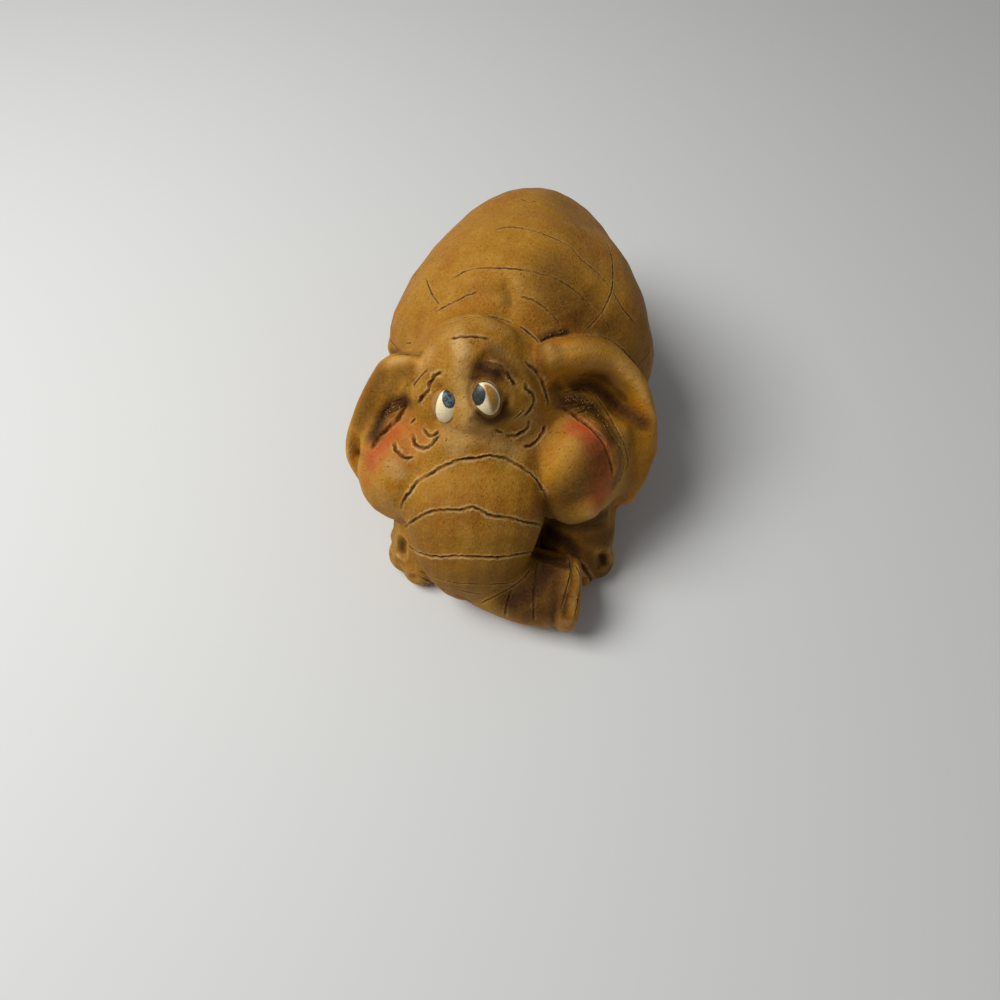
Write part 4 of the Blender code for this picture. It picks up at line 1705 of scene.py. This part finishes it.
@dataclass
class Legs(Lump):
    """The stubby legs with their toes."""

    feet: tuple[str, ...] = ("front_right", "front_left", "hind_right", "hind_left")
    toes: tuple[int, ...] = (1, 2, 3)

    def __post_init__(self) -> None:
        """Lists the nodes of all feet."""
        legs = tuple(f"{foot.split('_')[0]}_leg_{foot.split('_')[1]}" for foot in self.feet)
        self.nodes = legs + tuple(f"{foot}_toe_{toe}" for foot in self.feet for toe in self.toes)

    def joints(self) -> list[Joint]:
        """Seams that are smoothed away."""
        legs = self.nodes[:len(self.feet)]
        return [Joint(leg, "body", 1.2, 16) for leg in legs]

    def forms(self) -> list[Stroke]:
        """The scooped nails that show, with their rims."""
        return [
            form((602, 553), (604, 565), width=2.6, height=0.5),
            form((602, 555), (604, 564), width=1.7, height=-1.5),
            form((401, 543), (400, 554), width=2.6, height=0.4),
            form((402, 543), (401, 552), width=1.7, height=-1.2),
        ]

    def grooves(self) -> list[Stroke]:
        """The clefts between the toes that show."""
        return [groove((581, 564), (588, 574), (592, 581), (595, 586), width=0.3, depth=0.4)]

    def brushwork(self) -> list[Stroke]:
        """Dark wash in the nails that show and in a toe cleft, painted shade on the left foreleg under the
        cheek and on its foot, and a painted glint beside the nail of the right foot.
        """
        return [
            stain_and_shade((602, 556), (604, 563), width=1.7, strength=1.0),
            stain_and_shade((403, 543), (403, 550), width=1.4, strength=0.8),
            stain_and_shade((560, 524), (578, 528), (600, 526), width=3.4, strength=0.8),
            stain_and_shade((588, 540), (608, 538), width=5.0, strength=0.75),
            stain_and_shade((585, 552), (592, 562), (606, 574), width=3.4, strength=0.7),
            painted_highlight((398, 555), (398, 556), width=0.6, strength=0.9),
            stain_and_shade((581, 564), (592, 582), width=0.7, strength=0.8),
        ]


class Parting:
    """Takes the finished skin apart into one closed mesh for each node.

    FLANGE is how far an open edge turns in, COVER how deep under the skin a point counts as covered, COVERED
    the share of a fan that has to be, and WALLED the most triangles of a part that may get an inner wall.
    SAMPLES is about how many points of an edge are tested, at the places along each spoke that SPOKE gives,
    for each of the SHARES of the way from the edge's middle to the part's.
    """

    FLANGE = 0.45 * MM
    COVER = 0.08 * MM
    COVERED = 0.995
    WALLED = 90_000
    SAMPLES = 140
    SHARES = (1.0, 0.85, 0.7, 0.55, 0.4, 0.25, 0.1)
    SPOKE = (0.1, 0.2, 0.35, 0.5, 0.7, 1.0)

    def __init__(self, skin: Skin) -> None:
        """Finds the owner of each triangle.

        Args:
            skin: the finished skin.
        """
        self.skin = skin
        self.normals = skin.normals()
        self.owner = skin.owners()
        self.tree = skin.tree()

    def inside(self, points: np.ndarray) -> float:
        """The share of the points that the skin covers.

        Args:
            points: the points, one row each.

        Returns:
            The share, from 0 to 1.
        """
        under = 0
        for point in points.tolist():
            place, normal, _, _ = self.tree.find_nearest(Vector(point))
            under += (Vector(point) - place).dot(normal) < -self.COVER
        return under / len(points)

    def apex(self, rim: np.ndarray, middle: np.ndarray) -> tuple[float, np.ndarray]:
        """The best point for a fan that closes an open edge.

        Args:
            rim: the points of the edge.
            middle: the middle of the part.

        Returns:
            The share of the fan that the skin covers, and the point.
        """
        some = rim[::max(1, len(rim) // self.SAMPLES)]
        best = (-1.0, middle)
        for share in self.SHARES:
            point = share * middle + (1 - share) * rim.mean(axis=0)
            spokes = np.vstack([some + (point - some) * step for step in self.SPOKE])
            under = self.inside(spokes)
            if under > best[0]:
                best = (under, point)
        return best

    def closed(self, points: np.ndarray, faces: np.ndarray, normals: np.ndarray) -> Arrays:
        """Closes a part's open edges, with a fan to a point inside or with an inner wall.

        Args:
            points: the points of the part.
            faces: its triangles.
            normals: the normals of its points.

        Returns:
            Its points and triangles with the new ones added.
        """
        sides = sides_of(faces)
        _, where, count = np.unique(np.sort(sides, axis=1), axis=0, return_index=True, return_counts=True)
        rims = sides[where[count == 1]]
        group = connected(len(points), rims)[rims[:, 0]]
        middle = points.mean(axis=0)
        sunk = points - normals * self.FLANGE
        fans = [(rims[group == label], *self.apex(sunk[rims[group == label, 0]], middle))
                for label in np.unique(group)]
        total = len(points)
        LOG.info("open edges and their cover: %s", [(len(rim), round(under, 2)) for rim, under, _ in fans])
        if len(faces) < self.WALLED and min(under for _, under, _ in fans) < self.COVERED:
            wall = np.vstack([np.column_stack([rims[:, 1], rims[:, 0], rims[:, 0] + total]),
                              np.column_stack([rims[:, 1], rims[:, 0] + total, rims[:, 1] + total])])
            return np.vstack([points, sunk]), np.vstack([faces, faces[:, ::-1] + total, wall])
        ring, where = np.unique(rims, return_inverse=True)
        inner = np.zeros(total, int)
        inner[ring] = total + np.arange(len(ring))
        points = np.vstack([points, sunk[ring]])
        added = [faces, np.column_stack([rims[:, 1], rims[:, 0], inner[rims[:, 0]]]),
                 np.column_stack([rims[:, 1], inner[rims[:, 0]], inner[rims[:, 1]]])]
        for rim, _, point in fans:
            tip = np.full(len(rim), len(points))
            added.append(np.column_stack([inner[rim[:, 1]], inner[rim[:, 0]], tip]))
            points = np.vstack([points, point])
        return points, np.vstack(added)

    def piece(self, node: str) -> bpy.types.Object:
        """The piece that shows one node.

        Args:
            node: name of the node.

        Returns:
            A closed mesh object with the skin's normals and paint.
        """
        skin = self.skin
        own = skin.faces[self.owner == skin.nodes.index(node)]
        used, faces = np.unique(own, return_inverse=True)
        points, faces = self.closed(skin.points[used], faces.reshape(-1, 3), self.normals[used])
        mesh = bpy.data.meshes.new(f"{node}_clay")
        mesh.from_pydata(points.tolist(), [], faces.tolist())
        extra = len(points) - len(used)
        for mark, values in skin.paint.items():
            write_values(mesh, mark.value, np.append(values[used], np.zeros(extra)))
        mesh.shade_smooth()
        normals = np.vstack([self.normals[used], np.tile((0.0, 0.0, 1.0), (extra, 1))])
        mesh.normals_split_custom_set_from_vertices(normals.tolist())
        return linked(f"{node}_clay", mesh)


@dataclass
class Eye:
    """One painted eye, seated in the head.

    Args:
        node: name of the node.
        pupil_at: pixel at the pupil's middle.
        pupil_pixels: its half width and half height.
        pupil_lean: how far its top leans to the right, in degrees.
        white_at: pixel at the middle of the eye's opening; the next two are as for the pupil.
        ochre: strength of the ochre shade on its outer side.
        growth: how far the eye grows over its node, in metres.
        finish: the colours.
        halvings: how often its triangles are halved.
        easings: how often it is smoothed.
    """

    node: str
    pupil_at: Pixel
    pupil_pixels: Pixel
    pupil_lean: float
    white_at: Pixel
    white_pixels: Pixel
    white_lean: float
    ochre: float = 0.0
    growth: float = 0.25 * MM
    finish: EyeFinish = field(default_factory=lambda: EyeFinish("eye_white"))
    halvings: int = 3
    easings: int = 30

    def build(self, finishes: Finishes) -> bpy.types.Object:
        """Builds and dresses the eye.

        Args:
            finishes: the materials.

        Returns:
            The piece.
        """
        mesh = merged_mesh(self.node, f"{self.node}_paint")
        points, faces = mesh_arrays(mesh)
        for _ in range(self.halvings):
            points, faces = halved(points, faces)
        for _ in range(self.easings):
            points = eased(points, faces)
        points = points + corner_normals(points, faces) * self.growth
        mesh.clear_geometry()
        mesh.from_pydata(points.tolist(), [], faces.tolist())
        self.paint(mesh, points)
        mesh.shade_smooth()
        piece = linked(mesh.name, mesh)
        mesh.materials.append(finishes.eye(self.finish))
        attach(piece, "root")
        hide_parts(self.node)
        LOG.info("%s: %d triangles", piece.name, len(faces))
        return piece

    @staticmethod
    def oval(seen: np.ndarray, middle: Pixel, halves: Pixel, lean: float) -> Arrays:
        """How far pixels are from the middle of an oval.

        Args:
            seen: the pixels, one row each.
            middle: the oval's middle.
            halves: its half width and half height.
            lean: how far its top leans to the right, in degrees.

        Returns:
            The distance, which is 1 on the oval's edge, and the distance across, with its sign.
        """
        away = seen - np.array(middle)
        turn = math.radians(lean)
        across = (away @ np.array([math.cos(turn), math.sin(turn)])) / halves[0]
        along = (away @ np.array([-math.sin(turn), math.cos(turn)])) / halves[1]
        return np.hypot(across, along), across

    def paint(self, mesh: bpy.types.Mesh, points: np.ndarray) -> None:
        """Writes where each paint is. The ovals are 1 at their edges, and the numbers are shares of them.

        Args:
            mesh: the eye's mesh.
            points: its points.
        """
        seen = pixels_of(points)
        pupil, across = self.oval(seen, self.pupil_at, self.pupil_pixels, self.pupil_lean)
        white, over = self.oval(seen, self.white_at, self.white_pixels, self.white_lean)
        values = {
            "pupil": pupil,
            "shine": np.clip((0.92 - pupil) / 0.25, 0, 1),
            "ochre": np.clip(self.ochre * (over - 0.05) * 4, 0, 1) * np.clip((0.93 - white) * 8, 0, 1),
            "rim": np.clip((white - 1.02) / 0.05, 0, 1),
            Mark.STAIN_AND_SHADE.value: np.exp(-(((white - 1.0) / 0.06) ** 2)),
        }
        for name, numbers in values.items():
            write_values(mesh, name, numbers)


def pixels_of(points: np.ndarray) -> np.ndarray:
    """Where points show in the photograph.

    Args:
        points: the points, one row each.

    Returns:
        The pixels, one row each.
    """
    turned = (points - np.array(VIEW.place)) @ np.array(Euler((VIEW.tilt, 0, VIEW.turn)).to_matrix())
    half = VIEW.frame_pixels / 2
    return np.column_stack([half - VIEW.focal_pixels * turned[:, 0] / turned[:, 2],
                            half + VIEW.focal_pixels * turned[:, 1] / turned[:, 2]])


def halved(points: np.ndarray, faces: np.ndarray) -> Arrays:
    """Each triangle parted into four.

    Args:
        points: the points, one row each.
        faces: the triangles.

    Returns:
        The new points and triangles.
    """
    edges, which = np.unique(np.sort(sides_of(faces), axis=1), axis=0, return_inverse=True)
    ab, bc, ca = which.reshape(3, -1) + len(points)
    a, b, c = faces.T
    parts = [(a, ab, ca), (b, bc, ab), (c, ca, bc), (ab, bc, ca)]
    return (np.vstack([points, points[edges].mean(axis=1)]),
            np.vstack([np.column_stack(part) for part in parts]))


def eased(points: np.ndarray, faces: np.ndarray) -> np.ndarray:
    """Moves each point halfway to the mean of its neighbours.

    Args:
        points: the points, one row each.
        faces: the triangles of a closed surface.

    Returns:
        The new points.
    """
    sides = sides_of(faces)
    count = np.bincount(sides[:, 0], minlength=len(points))
    total = np.column_stack([np.bincount(sides[:, 0], points[sides[:, 1], k], len(points)) for k in range(3)])
    return 0.5 * points + 0.5 * total / count[:, None]


@dataclass
class Crumbs:
    """Crumbs of clay that the tool left along its lines."""

    name: str
    nodes: tuple[str, ...]
    finish: ClayFinish
    size: float = 0.085 * MM
    per_square_metre: float = 5.0e6
    seed: int = 7
    least: float = 0.45
    smallest: tuple[float, float, float] = (0.5, 0.5, 0.4)
    largest: tuple[float, float, float] = (1.7, 1.4, 1.0)

    def tree(self) -> bpy.types.NodeTree:
        """The nodes that strew crumbs over a surface.

        Returns:
            The node tree, with named inputs.
        """
        made = bpy.data.node_groups.new("clay_crumbs", "GeometryNodeTree")
        for label, way, kind in (
                ("Surface", "INPUT", "NodeSocketGeometry"), ("Crumb Size", "INPUT", "NodeSocketFloat"),
                ("Density", "INPUT", "NodeSocketFloat"), ("Seed", "INPUT", "NodeSocketInt"),
                ("Finish", "INPUT", "NodeSocketMaterial"), ("Crumbs", "OUTPUT", "NodeSocketGeometry")):
            made.interface.new_socket(label, in_out=way, socket_type=kind)
        tree = Tree(made)
        given = tree.node("NodeGroupInput").outputs
        strewn = tree.node("GeometryNodeDistributePointsOnFaces", {
            "Mesh": given["Surface"], "Density": given["Density"], "Seed": given["Seed"]})
        ball = tree.node("GeometryNodeMeshIcoSphere", {"Radius": given["Crumb Size"]})
        ball.inputs["Subdivisions"].default_value = 1
        scale = tree.node("FunctionNodeRandomValue", {"Seed": given["Seed"]}, data_type="FLOAT_VECTOR")
        scale.inputs[0].default_value = self.smallest
        scale.inputs[1].default_value = self.largest
        turn = tree.node("FunctionNodeRandomValue", {"Seed": given["Seed"]}, data_type="FLOAT_VECTOR")
        turn.inputs[1].default_value = (math.tau, math.tau, math.tau)
        placed = tree.node("GeometryNodeInstanceOnPoints", {
            "Points": strewn.outputs["Points"], "Instance": ball.outputs["Mesh"],
            "Rotation": turn.outputs[0], "Scale": scale.outputs[0]})
        real = tree.node("GeometryNodeRealizeInstances", {0: placed.outputs[0]})
        dressed = tree.node("GeometryNodeSetMaterial", {"Geometry": real.outputs[0],
                                                        "Material": given["Finish"]})
        tree.node("NodeGroupOutput", {"Crumbs": dressed.outputs[0]})
        return made

    def build(self, parting: Parting, finishes: Finishes) -> bpy.types.Object:
        """Strews crumbs along the lips of the lines.

        Args:
            parting: the finished skin, parted into nodes.
            finishes: the materials.

        Returns:
            The piece.
        """
        skin = parting.skin
        chosen = (skin.paint[Mark.CRUMB][skin.faces] > self.least).all(axis=1)
        chosen &= np.isin(parting.owner, [skin.nodes.index(node) for node in self.nodes])
        lips = skin.faces[chosen]
        used, faces = np.unique(lips, return_inverse=True)
        mesh = bpy.data.meshes.new("lips")
        mesh.from_pydata(skin.points[used].tolist(), [], faces.reshape(-1, 3).tolist())
        bed = linked("lips", mesh)
        strew = bed.modifiers.new("strew", "NODES")
        strew.node_group = self.tree()
        values = {"Crumb Size": self.size, "Density": self.per_square_metre, "Seed": self.seed,
                  "Finish": finishes.clay(self.finish)}
        for item in strew.node_group.interface.items_tree:
            if item.name in values:
                strew[item.identifier] = values[item.name]
        graph = bpy.context.evaluated_depsgraph_get()
        piece = linked(self.name, bpy.data.meshes.new_from_object(bed.evaluated_get(graph)))
        bpy.data.objects.remove(bed)
        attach(piece, "root")
        LOG.info("%s: %d triangles", piece.name, len(piece.data.polygons))
        return piece


@dataclass
class Studio:
    """Floor, light and background."""

    floor_size: float = 4.0
    backdrop: tuple[float, float, float] = (0.62, 0.63, 0.63)
    key_place: tuple[float, float, float] = (-0.20, -0.04, 0.31)
    key_size: float = 0.20
    key_power: float = 1.40
    sky: tuple[float, float, float] = (0.95, 0.97, 1.0)
    sky_strength: float = 0.20

    def build(self, finishes: Finishes) -> None:
        """Builds the floor and the lights.

        Args:
            finishes: the materials.
        """
        mesh = bpy.data.meshes.new("floor")
        half = self.floor_size / 2
        corners = [(-half, -half, 0), (half, -half, 0), (half, half, 0), (-half, half, 0)]
        mesh.from_pydata(corners, [], [(0, 1, 2, 3)])
        floor = linked("floor", mesh)
        mesh.materials.append(finishes.floor())
        light = bpy.data.lights.new("key", "AREA")
        light.energy = self.key_power
        light.size = self.key_size
        key = linked("key", light)
        key.location = self.key_place
        key.rotation_euler = (-Vector(self.key_place)).to_track_quat("-Z", "Y").to_euler()
        world = bpy.data.worlds.new("studio")
        bpy.context.scene.world = world
        world.use_nodes = True
        tree = Tree(world.node_tree)
        sky = world.node_tree.nodes["Background"]
        sky.inputs["Color"].default_value = (*self.sky, 1.0)
        sky.inputs["Strength"].default_value = self.sky_strength
        backdrop = tree.node("ShaderNodeBackground")
        backdrop.inputs["Color"].default_value = (*self.backdrop, 1.0)
        rays = tree.node("ShaderNodeLightPath").outputs
        mirrored = tree.maths("MAXIMUM", rays["Is Glossy Ray"], rays["Is Transmission Ray"])
        seen = tree.maths("MAXIMUM", rays["Is Camera Ray"], mirrored)
        both = tree.node("ShaderNodeMixShader", {0: seen, 1: sky.outputs[0], 2: backdrop.outputs[0]})
        tree.feed(world.node_tree.nodes["World Output"].inputs["Surface"], both.outputs[0])


@dataclass(frozen=True)
class Handwork:
    """How the hands work the whole skin.

    Args:
        smoothing: rounds of the first smoothing.
        settling: rounds of smoothing after the forms.
        waves: height and length in metres, and a shift of the pattern, of each unevenness.
        halvings: how often the triangles along the lines are halved.
        hollow_rounds: rounds of smoothing that hollows and ridges are measured against.
        hollow_depth: depth in metres of a hollow that fills with wash, or of a ridge that is wiped.
    """

    smoothing: int = 36
    settling: int = 2
    waves: tuple[tuple[float, float, float], ...] = ((0.16 * MM, 9.0 * MM, 3.1), (0.05 * MM, 2.6 * MM, 8.4))
    halvings: int = 2
    hollow_rounds: int = 16
    hollow_depth: float = 0.20 * MM


def worked_skin(lumps: list[Lump], hands: Handwork) -> Skin:
    """The figurine's skin with all its forms, lines and paint.

    Args:
        lumps: the parts of the figurine.
        hands: how the whole skin is worked.

    Returns:
        The finished skin.
    """
    skin = Skin([node for lump in lumps for node in lump.nodes],
                [fill for lump in lumps for fill in lump.fills()])
    LOG.info("skin: %d triangles", len(skin.faces))
    skin.relax(hands.smoothing, 1.0, keep=1.0)
    for joint in (joint for lump in lumps for joint in lump.joints()):
        skin.blend(joint.first, joint.second, joint.width * MM, joint.rounds)
    for rub in (rub for lump in lumps for rub in lump.rubs()):
        skin.soften(rub)
    skin.apply([stroke for lump in lumps for stroke in lump.forms()])
    skin.relax(hands.settling, 1.0)
    for height, length, shift in hands.waves:
        skin.knead(height, length, shift)
    lines = [stroke for lump in lumps for stroke in lump.grooves()]
    skin.refine(lines, hands.halvings)
    LOG.info("skin with fine triangles along the lines: %d", len(skin.faces))
    skin.apply(lines)
    hollow = skin.hollows(hands.hollow_rounds) / hands.hollow_depth
    everywhere = np.arange(len(skin.points))
    skin.raise_to(Mark.STAIN_AND_SHADE, everywhere, np.clip(hollow - 0.35, 0, 1) * 0.7)
    skin.raise_to(Mark.WORN_AND_HIGHLIGHT, everywhere, np.clip(-hollow - 0.3, 0, 1) * 0.4)
    skin.apply([stroke for lump in lumps for stroke in lump.brushwork()])
    skin.settle()
    return skin


def main() -> None:
    """Builds the figurine, its studio and the camera."""
    logging.basicConfig(level=logging.INFO, format="%(name)s %(message)s")
    noise.seed_set(WANDER_SEED)
    finishes = Finishes()
    lumps = [Torso(), Head(), Cheeks(), Ears(), Trunk(), Legs()]
    parting = Parting(worked_skin(lumps, Handwork()))
    for lump in lumps:
        lump.build(parting, finishes)
    pale = ClayFinish("pale_crumbs", base=(0.52, 0.30, 0.09), warm=(0.42, 0.20, 0.04))
    dark = ClayFinish("dark_crumbs", base=(0.20, 0.095, 0.03), warm=(0.12, 0.05, 0.012),
                      pale=(0.30, 0.16, 0.05))
    strewn = (
        Crumbs("face_crumbs", ("head", "trunk", "cheek_right", "cheek_left", "body"), pale),
        Crumbs("ear_crumbs", ("ear_right", "ear_left"), dark, size=0.11 * MM),
    )
    for group in strewn:
        group.build(parting, finishes)
    # The right eye's pupil slate is brightened as painted light, and the left eye's darker eye_shaded finish
    # is painted shade from the nose.
    eyes = (
        Eye("eye_right", pupil_at=(449.0, 398.4), pupil_pixels=(7.0, 10.4), pupil_lean=-4.0,
            white_at=(446, 406), white_pixels=(10.6, 18.2), white_lean=11.0,
            finish=EyeFinish("eye_white", slate=(0.095, 0.155, 0.160))),
        Eye("eye_left", pupil_at=(477.3, 394.6), pupil_pixels=(8.4, 11.2), pupil_lean=-6.0,
            white_at=(485, 399.5), white_pixels=(15.6, 18.2), white_lean=-18.0, ochre=1.0,
            finish=EyeFinish("eye_shaded", slate=(0.018, 0.028, 0.030), ochre=(0.30, 0.13, 0.008))),
    )
    for eye in eyes:
        eye.build(finishes)
    Studio().build(finishes)
    VIEW.build()
    bpy.context.scene.view_settings.view_transform = "Standard"


if __name__ == "__main__":
    main()
